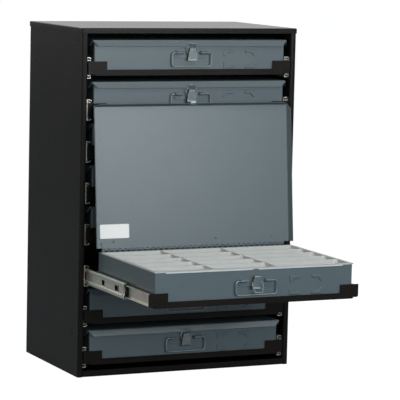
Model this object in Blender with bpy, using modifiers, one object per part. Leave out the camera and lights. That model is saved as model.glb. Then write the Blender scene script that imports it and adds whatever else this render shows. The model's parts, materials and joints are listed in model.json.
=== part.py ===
"""Tray rack: a sheet-steel cabinet with eight carriers on ball-bearing slides.

Each carrier holds a steel box with a hinged, flared lid, a wire bail and a draw latch.
The sixth carrier is pulled out to its stop and its box stands open, with its moulded insert.
The front faces -Y, +Z is up, and the origin is the middle of the underside. Lengths are metres.
"""

import math

import bmesh
import bpy
from mathutils import Matrix, Vector

# Cabinet: folded sheet, 20 by 29.5 by 12.5 inches.
WIDTH = 0.508
DEPTH = 0.3175
SHEET = 0.0015
GAP = 0.0003
CAP_FOLD = 0.0115
FLANGE = 0.014
RETURN = 0.03
BASE_RAIL = 0.014
SIDE_HOLE_RADIUS = 0.0022
SIDE_HOLE_BACK = 0.034
SIDE_HOLE_LOW = 0.0915
SIDE_HOLE_BELOW = 0.0273
OVERRUN = 0.004
WELD = 0.0002
MERGE = 0.000003

# Bays: the first one is at the top. Their even pitch sets the cabinet's height.
BAYS = 8
PITCH = 0.0889
LOWEST_SLIDE = 0.0194
TOP_ROOM = 0.0187
OPEN_BAY = 6
JOINED_MIDDLES = (2, 3, 4, 5)

# Slides: three nested members, 45 high and 12.7 deep.
SLIDE_HEIGHT = 0.045
SLIDE_DEPTH = 0.0127
RAIL_SHEET = 0.0012
RAIL_BACK = 0.009
RAIL_END = 0.0065
RAIL_FLANGE = 0.0106
RAIL_LIP = 0.0036
RAIL_CORNER = 0.001
RACE_ROOM = 0.0113
MIDDLE_WEB = 0.0022
MIDDLE_FLANGE = 0.0109
MIDDLE_LIP = 0.0031
MIDDLE_BACK = 0.0095
MIDDLE_END = 0.008
SLOT_PLACE_SHARES = (0.146, 0.39)
SLOT_LENGTHS = (0.021, 0.016)
SLOT_TALL = 0.0115
BALL_ROOM = 0.0083
INNER_FLANGE = 0.0083
INNER_BACK = 0.009
INNER_END = 0.0165
CAGE_LENGTH = 0.05
CAGE_WIDTH = 0.004
CAGE_INSET = 0.006
OVER_TRAVEL = 0.0255
MIDDLE_SHARE = 0.644

# Carrier: a folded pan with a low front bar and two end tabs.
CARRIER_SHEET = 0.0012
CARRIER_BOTTOM = 0.0063
CARRIER_END = 0.0155
PLATE_CLEAR = 0.0015
FOLD_INSET = 0.0053
PLATE_STEP = 0.003
PLATE_ROUND = 0.004
BAR_TOP = 0.0194
TAB_TOP = 0.037
TAB_WIDTH = 0.043

# Box: open steel tray with a hinged lid. It fills the carrier, and its rim stays below the next one.
BOX_SHEET = 0.001
BOX_CLEAR = 0.0033
BOX_BACK = 0.003
BOX_END = 0.014
BOX_ROOM = 0.0097
BOX_BEND = 0.0016
LID_SHEET = 0.001
LID_OVER = 0.004
LID_LIFT = 0.0023
LID_FLANGE = 0.0137
LID_SIDE_FLARE = 0.005
LID_FRONT_FLARE = 0.004
LID_MITRE = 0.0105
LID_FRONT_CLEAR = 0.0003

# Piano hinge: leaf on each part, knuckles outside the back wall.
LEAF = 0.001
LEAF_WIDTH = 0.012
HINGE_INSET = 0.0081
KNUCKLE = 0.0254
KNUCKLE_RADIUS = 0.0023
PIN_RADIUS = 0.0011
PIN_BORE = 0.00135
LID_EDGE = 0.004
LEAF_PLAY = 0.0004
HINGE_SIDES = 8

# Insert: moulded plastic tray with fifteen pockets.
INSERT_WALL = 0.0015
INSERT_LIP = 0.0015
INSERT_LIP_WIDTH = 0.007
INSERT_SHORT = 0.018
INSERT_PROUD = 0.0015
SKIRT = 0.0012
SKIRT_DROP = 0.003
SKIRT_FRONT_DROP = 0.0055
SKIRT_CORNER = 0.025
NOTCH_HALF = 0.0055
DIVIDER = 0.0025
DIVIDER_SHARES = (-0.4165, 0.2288)
ROWS = 5
POCKET_ROUND = 0.006
POCKET_OVER = 0.012

# Bail: a wire handle that hangs from two clips, whose height is measured down from the rim.
WIRE_RADIUS = 0.0015
BAIL_HALF = 0.046
BAIL_BELOW = 0.0245
BAIL_DROP = 0.0292
BAIL_OFFSET = 0.0055
BAIL_ROUND = 0.006
CLIP_INNER = 0.0175
CLIP_OUTER = 0.037
CLIP_HEIGHT = 0.0075
CLIP_WALL = 0.001
CLIP_BORE = 0.0019
BAIL_INNER = 0.021

# Draw latch: base, lever and wire loop, and the catch on the lid. Heights are measured down from the rim.
BASE_HALF = 0.0065
BASE_LOW_BELOW = 0.0422
BASE_TOP_BELOW = 0.015
BASE_PLATE = 0.0012
BLOCK_HALF = 0.005
BLOCK_RISE = 0.0024
PIVOT_BELOW = 0.0187
LEVER_PIVOT_OUT = 0.0048
LEVER_PIN = 0.0012
LEVER_BORE = 0.00155
LEVER_SHEET = 0.0012
LEVER_TOP_BELOW = 0.0142
LEVER_LOW_BELOW = 0.0412
LEVER_TOP_HALF = 0.008
LEVER_LOW_HALF = 0.01125
LEVER_OUT = 0.0109
LEVER_LIP = 0.008
LEVER_LIP_END = 0.002
LOOP_RADIUS = 0.001
LOOP_BORE = 0.00135
LOOP_BELOW = 0.0269
LOOP_PIVOT_OUT = 0.0082
LOOP_LENGTH = 0.0227
LOOP_ROUND = 0.002
LOOP_SIDE_CLEAR = 0.0014
LOOP_HANG = math.radians(26)
CATCH_HALF = 0.006
CATCH_SHEET = 0.0012
CATCH_LIP = 0.0008
CATCH_PLAY = 0.001

# Label holder: four pressed corners that take a card.
CARD_LEFT = 0.0778
CARD_RIGHT = 0.155
CARD_LOW = 0.021
CARD_BELOW = 0.0187
HOLDER_WIDTH = 0.026
HOLDER_HEIGHT = 0.0133
HOLDER_ARM = 0.0063
HOLDER_POST = 0.005
HOLDER_SLANT = 0.0105
HOLDER_PROUD = 0.0012

# Play between the open lid and the nearest bail behind it, where the lid comes to rest.
LID_PLAY = 0.0023

HEIGHT = LOWEST_SLIDE + BAYS * PITCH + TOP_ROOM
TRAVEL = DEPTH + OVER_TRAVEL
MIDDLE_HEIGHT = SLIDE_HEIGHT - RACE_ROOM
INNER_HEIGHT = MIDDLE_HEIGHT - BALL_ROOM
RAIL_LENGTH = DEPTH - RAIL_BACK - RAIL_END
MIDDLE_LENGTH = DEPTH - MIDDLE_BACK - MIDDLE_END
INNER_LENGTH = DEPTH - INNER_BACK - INNER_END
CARRIER_DEPTH = DEPTH - CARRIER_END
FRONT = -DEPTH / 2
REAR = DEPTH / 2
SIDE_OUTER = WIDTH / 2 - SHEET - GAP
SIDE_INNER = SIDE_OUTER - SHEET
FLANGE_EDGE = WIDTH / 2 - FLANGE
CARRIER_HALF = FLANGE_EDGE - SLIDE_DEPTH
PLATE_HALF = FLANGE_EDGE - PLATE_CLEAR
TAB_INNER = PLATE_HALF - TAB_WIDTH
FOLD_HALF = CARRIER_HALF - FOLD_INSET
BOX_HALF = CARRIER_HALF - BOX_CLEAR
BOX_RIM = PITCH - BOX_ROOM
BOX_BOTTOM = CARRIER_BOTTOM + CARRIER_SHEET + GAP
BOX_REAR = DEPTH - BOX_END
LID_HALF = BOX_HALF + LID_OVER
LID_UNDER = BOX_RIM + LID_LIFT
HINGE_HALF = BOX_HALF - HINGE_INSET
BAIL_PIVOT = BOX_RIM - BAIL_BELOW
BASE_LOW = BOX_RIM - BASE_LOW_BELOW
BASE_TOP = BOX_RIM - BASE_TOP_BELOW
LEVER_PIVOT = BOX_RIM - PIVOT_BELOW
LEVER_TOP = BOX_RIM - LEVER_TOP_BELOW
LEVER_LOW = BOX_RIM - LEVER_LOW_BELOW
LOOP_PIVOT = BOX_RIM - LOOP_BELOW
CARD_TOP = BOX_RIM - CARD_BELOW
CATCH_OUT = LOOP_PIVOT_OUT + LOOP_RADIUS + CATCH_PLAY + CATCH_SHEET
PIN_BACK = BOX_REAR + KNUCKLE_RADIUS + GAP
PIN_HEIGHT = LID_UNDER - LEAF + KNUCKLE_RADIUS - WELD
LID_TOP = LID_UNDER + LID_SHEET
LID_FRONT = BOX_BACK - INSERT_PROUD - LID_FRONT_CLEAR - LID_SHEET
LID_LENGTH = PIN_BACK - LID_EDGE - LID_FRONT


def clear_scene():
    for old in list(bpy.data.objects):
        bpy.data.objects.remove(old, do_unlink=True)


def new_collection(name):
    made = bpy.data.collections.new(name)
    bpy.context.scene.collection.children.link(made)
    return made


def material(name, colour, roughness, metallic):
    made = bpy.data.materials.new(name)
    made.use_nodes = True
    shader = made.node_tree.nodes["Principled BSDF"]
    shader.inputs["Base Color"].default_value = (*colour, 1)
    shader.inputs["Roughness"].default_value = roughness
    shader.inputs["Metallic"].default_value = metallic
    return made


clear_scene()
RACK = new_collection("tray_rack")
PATTERNS = new_collection("patterns_and_cutters")
PATTERNS.hide_render = True

BLACK = material("black_powder_coat", (0.016, 0.015, 0.014), 0.45, 0.0)
CARRIER_BLACK = material("carrier_black", (0.022, 0.021, 0.019), 0.5, 0.0)
ZINC = material("zinc_plate", (0.42, 0.42, 0.38), 0.35, 1.0)
ENAMEL = material("grey_enamel", (0.14, 0.17, 0.19), 0.35, 0.2)
PLASTIC = material("pale_plastic", (0.56, 0.56, 0.52), 0.5, 0.0)
BRIGHT = material("bright_wire", (0.55, 0.54, 0.52), 0.3, 1.0)


def pattern(name, bm):
    """Keeps a shape as a hidden pattern object, which modifiers and copies then use."""
    bmesh.ops.recalc_face_normals(bm, faces=bm.faces)
    return hidden(name, bm)


def hidden(name, bm):
    """Links a shape as it is, open or shut, among the patterns."""
    mesh = bpy.data.meshes.new(name)
    bm.to_mesh(mesh)
    bm.free()
    made = bpy.data.objects.new(name + "_pattern", mesh)
    made.hide_render = True
    made.display_type = "WIRE"
    PATTERNS.objects.link(made)
    return made


def cube(low, high):
    bm = bmesh.new()
    bmesh.ops.create_cube(bm, size=1)
    bmesh.ops.scale(bm, vec=Vector(high) - Vector(low), verts=bm.verts)
    bmesh.ops.translate(bm, vec=(Vector(low) + Vector(high)) / 2, verts=bm.verts)
    return bm


def block(name, low, high):
    return pattern(name, cube(low, high))


def bent_edges(bm):
    return [edge for edge in bm.edges if len(edge.link_faces) == 2]


def thicken(obj, thickness):
    wall = obj.modifiers.new("wall", "SOLIDIFY")
    wall.thickness = thickness
    wall.offset = -1
    wall.use_even_offset = True


def pan(name, low, high, open_sides, thickness, bend=0.0):
    """A box of folded sheet: the open sides are left out, and the wall lies inside the outline."""
    bm = cube(low, high)
    gone = [face for face in bm.faces if any(round(face.normal.dot(Vector(way))) > 0 for way in open_sides)]
    bmesh.ops.delete(bm, geom=gone, context="FACES")
    if bend:
        bmesh.ops.bevel(bm, geom=bent_edges(bm), offset=bend, segments=1, affect="EDGES")
    made = hidden(name, bm)
    thicken(made, thickness)
    return made


def combine(obj, others, operation, solver="EXACT"):
    for other in others:
        step = obj.modifiers.new(operation.lower() + "_" + other.name, "BOOLEAN")
        step.operation = operation
        step.solver = solver
        step.object = other
    return obj


def join(obj, others, solver="EXACT"):
    return combine(obj, others, "UNION", solver)


def cut(obj, cutters):
    return combine(obj, cutters, "DIFFERENCE")


def meshed(obj):
    """The mesh of an object with its modifiers, its loose caps welded and flat faces kept whole."""
    bpy.context.view_layer.update()
    evaluated = obj.evaluated_get(bpy.context.evaluated_depsgraph_get())
    mesh = bpy.data.meshes.new_from_object(evaluated)
    mesh.name = obj.name
    bm = bmesh.new()
    bm.from_mesh(mesh)
    bmesh.ops.remove_doubles(bm, verts=bm.verts, dist=MERGE)
    bm.to_mesh(mesh)
    bm.free()
    return mesh


def pieces(name, objects):
    """Several separate shapes held in one pattern, so that one Boolean takes them all."""
    bm = bmesh.new()
    for obj in objects:
        mesh = meshed(obj)
        bm.from_mesh(mesh)
    return pattern(name, bm)


def outlined(name, outline, thickness, frame):
    """A flat outline, extruded both ways from its plane and set in the given frame."""
    curve = bpy.data.curves.new(name, "CURVE")
    curve.dimensions = "2D"
    curve.fill_mode = "BOTH"
    curve.extrude = thickness / 2
    spline = curve.splines.new("POLY")
    spline.points.add(len(outline) - 1)
    for point, (across, up) in zip(spline.points, outline):
        point.co = (across, up, 0, 1)
    spline.use_cyclic_u = True
    holder = bpy.data.objects.new(name + "_outline", curve)
    PATTERNS.objects.link(holder)
    mesh = meshed(holder)
    bpy.data.objects.remove(holder)
    bm = bmesh.new()
    bm.from_mesh(mesh)
    bmesh.ops.transform(bm, matrix=frame, verts=bm.verts)
    return pattern(name, bm)


def arc(x, z, radius, start, end, steps=3):
    """Points on a round corner about (x, z), between two angles in degrees."""
    angles = [math.radians(start + (end - start) * step / steps) for step in range(steps + 1)]
    return [(x + radius * math.cos(angle), z + radius * math.sin(angle)) for angle in angles]


def rod(name, radius, sides, start, end):
    """A bar along X between two ends at the same height and depth."""
    bm = bmesh.new()
    length = end[0] - start[0]
    bmesh.ops.create_cone(bm, cap_ends=True, segments=sides, radius1=radius, radius2=radius, depth=length)
    bmesh.ops.rotate(bm, cent=(0, 0, 0), matrix=Matrix.Rotation(math.pi / 2, 3, "Y"), verts=bm.verts)
    bmesh.ops.translate(bm, vec=(Vector(start) + Vector(end)) / 2, verts=bm.verts)
    return pattern(name, bm)


def rounded(corners, radius, steps=2):
    """A path whose inner corners are replaced by short curves."""
    path = [Vector(corners[0])]
    for before, corner, after in zip(corners, corners[1:], corners[2:]):
        corner = Vector(corner)
        start = corner + (Vector(before) - corner).normalized() * radius
        end = corner + (Vector(after) - corner).normalized() * radius
        for step in range(steps + 1):
            t = step / steps
            path.append(start * (1 - t) ** 2 + corner * 2 * t * (1 - t) + end * t ** 2)
    path.append(Vector(corners[-1]))
    return path


def wire(name, path, radius):
    curve = bpy.data.curves.new(name, "CURVE")
    curve.dimensions = "3D"
    curve.bevel_depth = radius
    curve.bevel_resolution = 1
    curve.use_fill_caps = True
    spline = curve.splines.new("POLY")
    spline.points.add(len(path) - 1)
    for point, place in zip(spline.points, path):
        point.co = (*place, 1)
    return curve


def wire_piece(name, path, radius):
    holder = bpy.data.objects.new(name, wire(name, path, radius))
    PATTERNS.objects.link(holder)
    mesh = meshed(holder)
    bpy.data.objects.remove(holder)
    bm = bmesh.new()
    bm.from_mesh(mesh)
    return pattern(name, bm)


def place(name, data, look, parent=None, location=(0, 0, 0), turn=0.0):
    made = bpy.data.objects.new(name, data)
    if look.name not in data.materials:
        data.materials.clear()
        data.materials.append(look)
    made.location = location
    made.rotation_euler.x = turn
    made.parent = parent
    RACK.objects.link(made)
    return made


def bay_height(bay):
    return LOWEST_SLIDE + (BAYS - bay) * PITCH


def slide_frame(side, start, length, height):
    """Takes a profile drawn from the cabinet wall inwards to its place along the slide."""
    middle = FRONT + start + length / 2
    columns = ((-side, 0, 0), (0, 0, 1), (0, side, 0))
    turn = Matrix(columns).transposed().to_4x4()
    return Matrix.Translation((side * FLANGE_EDGE, middle, height + SLIDE_HEIGHT / 2)) @ turn


def mirrored(half):
    """A closed profile from its upper half, which starts and ends on the middle line."""
    return half + [(across, -up) for across, up in reversed(half)]


def outer_profile():
    top = SLIDE_HEIGHT / 2
    inside = top - RAIL_SHEET
    half = [
        (-WELD, top),
        (RAIL_FLANGE - RAIL_CORNER, top),
        (RAIL_FLANGE, top - RAIL_CORNER),
        (RAIL_FLANGE, top - RAIL_LIP),
        (RAIL_FLANGE - RAIL_SHEET, top - RAIL_LIP),
        (RAIL_FLANGE - RAIL_SHEET, inside),
        (RAIL_SHEET, inside),
    ]
    return mirrored(half)


def middle_profile():
    top = MIDDLE_HEIGHT / 2
    inside = top - RAIL_SHEET
    half = [
        (MIDDLE_WEB, top - RAIL_CORNER),
        (MIDDLE_WEB + RAIL_CORNER, top),
        (MIDDLE_FLANGE, top),
        (MIDDLE_FLANGE, top - MIDDLE_LIP),
        (MIDDLE_FLANGE - RAIL_SHEET, top - MIDDLE_LIP),
        (MIDDLE_FLANGE - RAIL_SHEET, inside),
        (MIDDLE_WEB + RAIL_SHEET, inside),
    ]
    return mirrored(half)


def inner_profile():
    top = INNER_HEIGHT / 2
    inside = top - RAIL_SHEET
    half = [
        (SLIDE_DEPTH + WELD, top),
        (SLIDE_DEPTH - INNER_FLANGE, top),
        (SLIDE_DEPTH - INNER_FLANGE, inside),
        (SLIDE_DEPTH - RAIL_SHEET, inside),
    ]
    return mirrored(half)


def cages(side, height, free):
    """The four ball cages of a middle member: two run in the outer rail and two hold the inner one."""
    top = MIDDLE_HEIGHT / 2
    race = SLIDE_HEIGHT / 2 - RAIL_SHEET
    reach = race - GAP if free else race + WELD
    across = (MIDDLE_WEB + MIDDLE_FLANGE) / 2
    made = []
    rear = FRONT + MIDDLE_BACK + MIDDLE_LENGTH - CAGE_INSET
    front = FRONT + MIDDLE_BACK + CAGE_INSET
    rows = (
        ("outer", rear - CAGE_LENGTH, top - WELD, reach),
        ("inner", front, INNER_HEIGHT / 2 + GAP, top - RAIL_SHEET + WELD),
    )
    for name, start, low, high in rows:
        for up in (-1, 1):
            ends = sorted((up * low, up * high))
            centre = FLANGE_EDGE - across
            sides = sorted((side * (centre - CAGE_WIDTH / 2), side * (centre + CAGE_WIDTH / 2)))
            middle = height + SLIDE_HEIGHT / 2
            made.append(
                block(
                    f"cage_{name}_{up}",
                    (sides[0], start, middle + ends[0]),
                    (sides[1], start + CAGE_LENGTH, middle + ends[1]),
                )
            )
    return made


def slots(side, height):
    """The two openings in a middle member's web, which show its latch tab and its screws."""
    outer = FLANGE_EDGE + OVERRUN
    inner = FLANGE_EDGE - MIDDLE_WEB - RAIL_SHEET - GAP
    ends = sorted((side * outer, side * inner))
    low = height + (SLIDE_HEIGHT - SLOT_TALL) / 2
    made = []
    for share, length in zip(SLOT_PLACE_SHARES, SLOT_LENGTHS):
        near = FRONT + MIDDLE_BACK + share * MIDDLE_LENGTH - length / 2
        made.append(block("slot", (ends[0], near, low), (ends[1], near + length, low + SLOT_TALL)))
    return made


def middle_member(side, height, free):
    frame = slide_frame(side, MIDDLE_BACK, MIDDLE_LENGTH, height)
    member = outlined("middle_member", middle_profile(), MIDDLE_LENGTH, frame)
    if free:
        cut(member, [pieces("slots", slots(side, height))])
    return join(member, [pieces("cages", cages(side, height, free))])


def side_panel(name, side):
    """A side of the cabinet with its flanges, its eight outer rails and the slides that stay shut."""
    post = FLANGE_EDGE + SHEET
    half = [
        (SIDE_INNER, FRONT + SHEET),
        (post, FRONT + SHEET),
        (post, FRONT + RETURN),
        (FLANGE_EDGE, FRONT + RETURN),
        (FLANGE_EDGE, FRONT),
        (SIDE_OUTER, FRONT),
    ]
    section = [(side * x, y) for x, y in half + [(x, -y) for x, y in reversed(half)]]
    height = HEIGHT - SHEET - GAP
    panel = outlined(name, section, height, Matrix.Translation((0, 0, height / 2)))
    rails = []
    for bay in range(1, BAYS + 1):
        frame = slide_frame(side, RAIL_BACK, RAIL_LENGTH, bay_height(bay))
        rails.append(outlined(f"rail_{bay}", outer_profile(), RAIL_LENGTH, frame))
    join(panel, [pieces("outer_rails", rails)])
    shut = [middle_member(side, bay_height(bay), False) for bay in JOINED_MIDDLES]
    join(panel, [pieces("shut_middles", shut)])
    corner_low = HEIGHT - CAP_FOLD - GAP
    corners = []
    depths = (("front", FRONT - OVERRUN, FRONT + SHEET + GAP), ("rear", REAR - SHEET - GAP, REAR + OVERRUN))
    for label, near, far in depths:
        wide = sorted((side * (WIDTH / 2 + OVERRUN), side * (FLANGE_EDGE - OVERRUN)))
        corners.append(block(f"corner_{label}", (wide[0], near, corner_low), (wide[1], far, HEIGHT + OVERRUN)))
    holes = []
    for height in (SIDE_HOLE_LOW, HEIGHT - SIDE_HOLE_BELOW):
        reach = sorted((side * (SIDE_OUTER + OVERRUN), side * (SIDE_INNER - GAP)))
        back = FRONT + SIDE_HOLE_BACK
        start = (reach[0], back, height)
        end = (reach[1], back, height)
        holes.append(rod("side_hole", SIDE_HOLE_RADIUS, HINGE_SIDES, start, end))
    cut(panel, [pieces("corner_cuts", corners + holes)])
    return place(name, meshed(panel), BLACK)


def cabinet():
    side_panel("left_side", -1)
    side_panel("right_side", 1)
    half = WIDTH / 2
    top = pan("top", (-half, FRONT, HEIGHT - CAP_FOLD), (half, REAR, HEIGHT), ((0, 0, -1),), SHEET)
    place("top", meshed(top), BLACK)
    edge = FLANGE_EDGE - GAP
    base = pan("base", (-edge, FRONT, 0), (edge, REAR, BASE_RAIL), ((0, 0, 1), (1, 0, 0), (-1, 0, 0)), SHEET)
    place("base", meshed(base), BLACK)
    back_face = REAR - SHEET - GAP
    back = block("back", (-edge, back_face - SHEET, SHEET + GAP), (edge, back_face, HEIGHT - SHEET - GAP))
    place("back", meshed(back), BLACK)


def carrier_mesh():
    """The pan that carries a box, with the inner slide members on its sides, in its bay's frame."""
    shell = pan(
        "carrier",
        (-CARRIER_HALF, FRONT + CARRIER_SHEET / 2, CARRIER_BOTTOM),
        (CARRIER_HALF, FRONT + CARRIER_DEPTH, TAB_TOP - GAP),
        ((0, 0, 1), (0, 1, 0), (0, -1, 0)),
        CARRIER_SHEET,
    )
    fold = CARRIER_BOTTOM + CARRIER_SHEET / 2
    low = CARRIER_BOTTOM + PLATE_STEP
    half = [
        (0, fold),
        (FOLD_HALF, fold),
        (FOLD_HALF, low),
        *arc(PLATE_HALF - PLATE_ROUND, low + PLATE_ROUND, PLATE_ROUND, -90, 0),
        (PLATE_HALF, TAB_TOP),
        (TAB_INNER, TAB_TOP),
        (TAB_INNER, BAR_TOP),
    ]
    outline = half + [(-x, z) for x, z in reversed(half[1:])]
    turn = Matrix(((1, 0, 0), (0, 0, 1), (0, -1, 0))).transposed().to_4x4()
    middle = Matrix.Translation((0, FRONT + CARRIER_SHEET / 2, 0))
    plate = outlined("front_plate", outline, CARRIER_SHEET, middle @ turn)
    rails = []
    for side in (-1, 1):
        frame = slide_frame(side, INNER_BACK, INNER_LENGTH, 0)
        rails.append(outlined("inner_rail", inner_profile(), INNER_LENGTH, frame))
    join(shell, [plate, pieces("inner_rails", rails)], "MANIFOLD")
    return meshed(shell)


def bail_clips():
    """Two straps that hold the bail's inturned ends, each with a bore for the wire."""
    face = FRONT + BOX_BACK
    made = []
    for side in (-1, 1):
        ends = sorted((side * CLIP_INNER, side * CLIP_OUTER))
        out = face - BAIL_OFFSET
        strap = block(
            "clip",
            (ends[0], out - CLIP_BORE - CLIP_WALL, BAIL_PIVOT - CLIP_HEIGHT / 2),
            (ends[1], face + WELD, BAIL_PIVOT + CLIP_HEIGHT / 2),
        )
        start = (ends[0] - OVERRUN, out, BAIL_PIVOT)
        end = (ends[1] + OVERRUN, out, BAIL_PIVOT)
        bore = rod("clip_bore", CLIP_BORE, HINGE_SIDES, start, end)
        made.append(cut(strap, [bore]))
    return made


def label_holder():
    """Four pressed corners that grip a card, each slanted between its arms."""
    face = FRONT + BOX_BACK
    outline = [
        (0, 0),
        (HOLDER_WIDTH, 0),
        (HOLDER_WIDTH, HOLDER_ARM),
        (HOLDER_SLANT, HOLDER_ARM),
        (HOLDER_POST, HOLDER_HEIGHT),
        (0, HOLDER_HEIGHT),
    ]
    thickness = HOLDER_PROUD + WELD
    middle = face - HOLDER_PROUD / 2 + WELD / 2
    made = []
    for x, across in ((CARD_LEFT, 1), (CARD_RIGHT, -1)):
        for z, up in ((CARD_LOW, 1), (CARD_TOP, -1)):
            turn = Matrix(((across, 0, 0), (0, 0, up), (0, 1, 0))).transposed().to_4x4()
            made.append(outlined("holder", outline, thickness, Matrix.Translation((x, middle, z)) @ turn))
    return made


def latch_base():
    """The latch's base plate and block, with the lever's pin through the block."""
    face = FRONT + BOX_BACK
    plate = block("latch_plate", (-BASE_HALF, face - BASE_PLATE, BASE_LOW), (BASE_HALF, face + WELD, BASE_TOP))
    pivot_out = face - LEVER_PIVOT_OUT
    half = BLOCK_HALF
    boss = block(
        "latch_block",
        (-half, pivot_out - LEVER_PIN, LEVER_PIVOT - BLOCK_RISE),
        (half, face - BASE_PLATE / 2, LEVER_PIVOT + BLOCK_RISE),
    )
    reach = LEVER_TOP_HALF - GAP
    ends = ((-reach, pivot_out, LEVER_PIVOT), (reach, pivot_out, LEVER_PIVOT))
    return join(plate, [boss, rod("lever_pin", LEVER_PIN, HINGE_SIDES, *ends)])


def knuckle_spans(kind):
    """The stretches along X of every second knuckle: kind 0 is the box's, 1 the lid's."""
    count = round(2 * HINGE_HALF / KNUCKLE)
    step = 2 * HINGE_HALF / count
    for index in range(kind, count, 2):
        start = -HINGE_HALF + index * step
        yield start + GAP / 2, start + step - GAP / 2


def hinge_on_box(full):
    """The box's leaf and barrel. The full form has every second knuckle and the pin."""
    rear = FRONT + BOX_REAR
    pin_y = FRONT + PIN_BACK
    leaf_top = BOX_RIM if full else PIN_HEIGHT
    leaf = block(
        "box_leaf",
        (-HINGE_HALF, rear - WELD, BOX_RIM - LEAF_WIDTH),
        (HINGE_HALF, rear + LEAF, leaf_top),
    )
    if not full:
        start = (-HINGE_HALF, pin_y, PIN_HEIGHT)
        end = (HINGE_HALF, pin_y, PIN_HEIGHT)
        return join(leaf, [rod("barrel", KNUCKLE_RADIUS, HINGE_SIDES, start, end)])
    straps = []
    barrels = []
    for start, end in knuckle_spans(0):
        straps.append(block("strap", (start, rear - WELD / 2, BOX_RIM - LEAF), (end, rear + LEAF, PIN_HEIGHT)))
        ends = ((start, pin_y, PIN_HEIGHT), (end, pin_y, PIN_HEIGHT))
        barrels.append(rod("knuckle", KNUCKLE_RADIUS, HINGE_SIDES, *ends))
    reach = HINGE_HALF - GAP
    pin = rod("hinge_pin", PIN_RADIUS, HINGE_SIDES, (-reach, pin_y, PIN_HEIGHT), (reach, pin_y, PIN_HEIGHT))
    return join(leaf, [pieces("straps", straps), pieces("knuckles", barrels), pin])


def box_mesh(full_hinge):
    """A steel box in its bay's frame, with everything that is fixed to it."""
    shell = pan(
        "box",
        (-BOX_HALF, FRONT + BOX_BACK, BOX_BOTTOM),
        (BOX_HALF, FRONT + BOX_REAR, BOX_RIM),
        ((0, 0, 1),),
        BOX_SHEET,
        BOX_BEND,
    )
    fittings = bail_clips() + label_holder() + [latch_base()]
    join(shell, [pieces("front_fittings", fittings), hinge_on_box(full_hinge)])
    return meshed(shell)


def catch():
    """The hook on the lid's front flange that the latch's loop pulls down."""
    pivot_out = BOX_BACK - LOOP_PIVOT_OUT
    bar_height = LOOP_PIVOT + LOOP_LENGTH
    shelf_top = bar_height - LOOP_RADIUS - GAP
    lip_inner = pivot_out - LOOP_RADIUS - CATCH_PLAY
    root_share = (LID_TOP - shelf_top) / LID_FLANGE
    root = LID_FRONT - LID_FRONT_FLARE * root_share + LID_SHEET / 2
    outline = [
        (root, shelf_top - CATCH_SHEET),
        (lip_inner - CATCH_SHEET, shelf_top - CATCH_SHEET),
        (lip_inner - CATCH_SHEET, shelf_top + CATCH_LIP),
        (lip_inner, shelf_top + CATCH_LIP),
        (lip_inner, shelf_top),
        (root, shelf_top),
    ]
    turn = Matrix(((0, 1, 0), (0, 0, 1), (1, 0, 0))).transposed().to_4x4()
    move = Matrix.Translation((0, -PIN_BACK, -PIN_HEIGHT))
    return outlined("catch", outline, 2 * CATCH_HALF, move @ turn)


def lid_mesh(full_hinge):
    """A lid about its hinge pin, in the shut position: one sheet with three flared flanges."""
    bm = bmesh.new()
    bmesh.ops.create_grid(bm, x_segments=1, y_segments=1, size=1)
    bmesh.ops.scale(bm, vec=(LID_HALF, LID_LENGTH / 2, 1), verts=bm.verts)
    middle = Vector((0, -LID_EDGE - LID_LENGTH / 2, LID_TOP - PIN_HEIGHT))
    bmesh.ops.translate(bm, vec=middle, verts=bm.verts)
    near = min(vert.co.y for vert in bm.verts)
    for way, flare in (((0, -1), LID_FRONT_FLARE), ((-1, 0), LID_SIDE_FLARE), ((1, 0), LID_SIDE_FLARE)):
        out = Vector((*way, 0))
        bend = max(bent_side(bm), key=lambda edge: (edge.verts[0].co + edge.verts[1].co - 2 * middle).dot(out))
        grown = bmesh.ops.extrude_edge_only(bm, edges=[bend])["geom"]
        fresh = [item for item in grown if isinstance(item, bmesh.types.BMVert)]
        for vert in fresh:
            mitred = way[0] == 0 or vert.co.y < near + LID_MITRE
            along = Vector((-math.copysign(1, vert.co.x), 0, 0)) if way[0] == 0 else Vector((0, 1, 0))
            vert.co += out * flare - Vector((0, 0, LID_FLANGE))
            if mitred:
                vert.co += along * LID_MITRE
    bmesh.ops.recalc_face_normals(bm, faces=bm.faces)
    lid = hidden("lid", bm)
    thicken(lid, LID_SHEET)
    leaf_low = LID_UNDER - LEAF - PIN_HEIGHT
    leaf = block(
        "lid_leaf",
        (-HINGE_HALF, -LID_EDGE - LEAF_WIDTH, leaf_low),
        (HINGE_HALF, -KNUCKLE_RADIUS - GAP - LEAF_PLAY, leaf_low + LEAF + WELD),
    )
    join(lid, [leaf, catch()])
    if full_hinge:
        straps = []
        barrels = []
        for start, end in knuckle_spans(1):
            straps.append(block("strap", (start, -LID_EDGE, leaf_low), (end, 0, leaf_low + LEAF)))
            barrels.append(rod("knuckle", KNUCKLE_RADIUS, HINGE_SIDES, (start, 0, 0), (end, 0, 0)))
        join(lid, [pieces("straps", straps), pieces("knuckles", barrels)])
        reach = HINGE_HALF + OVERRUN
        cut(lid, [rod("hinge_bore", PIN_BORE, HINGE_SIDES, (-reach, 0, 0), (reach, 0, 0))])
    return meshed(lid)


def bent_side(bm):
    """The free edges of the lid's flat top, which its flanges grow from."""
    level = max(vert.co.z for vert in bm.verts)
    flat = [edge for edge in bm.edges if all(abs(vert.co.z - level) < WELD for vert in edge.verts)]
    return [edge for edge in flat if len(edge.link_faces) == 1]


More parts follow.
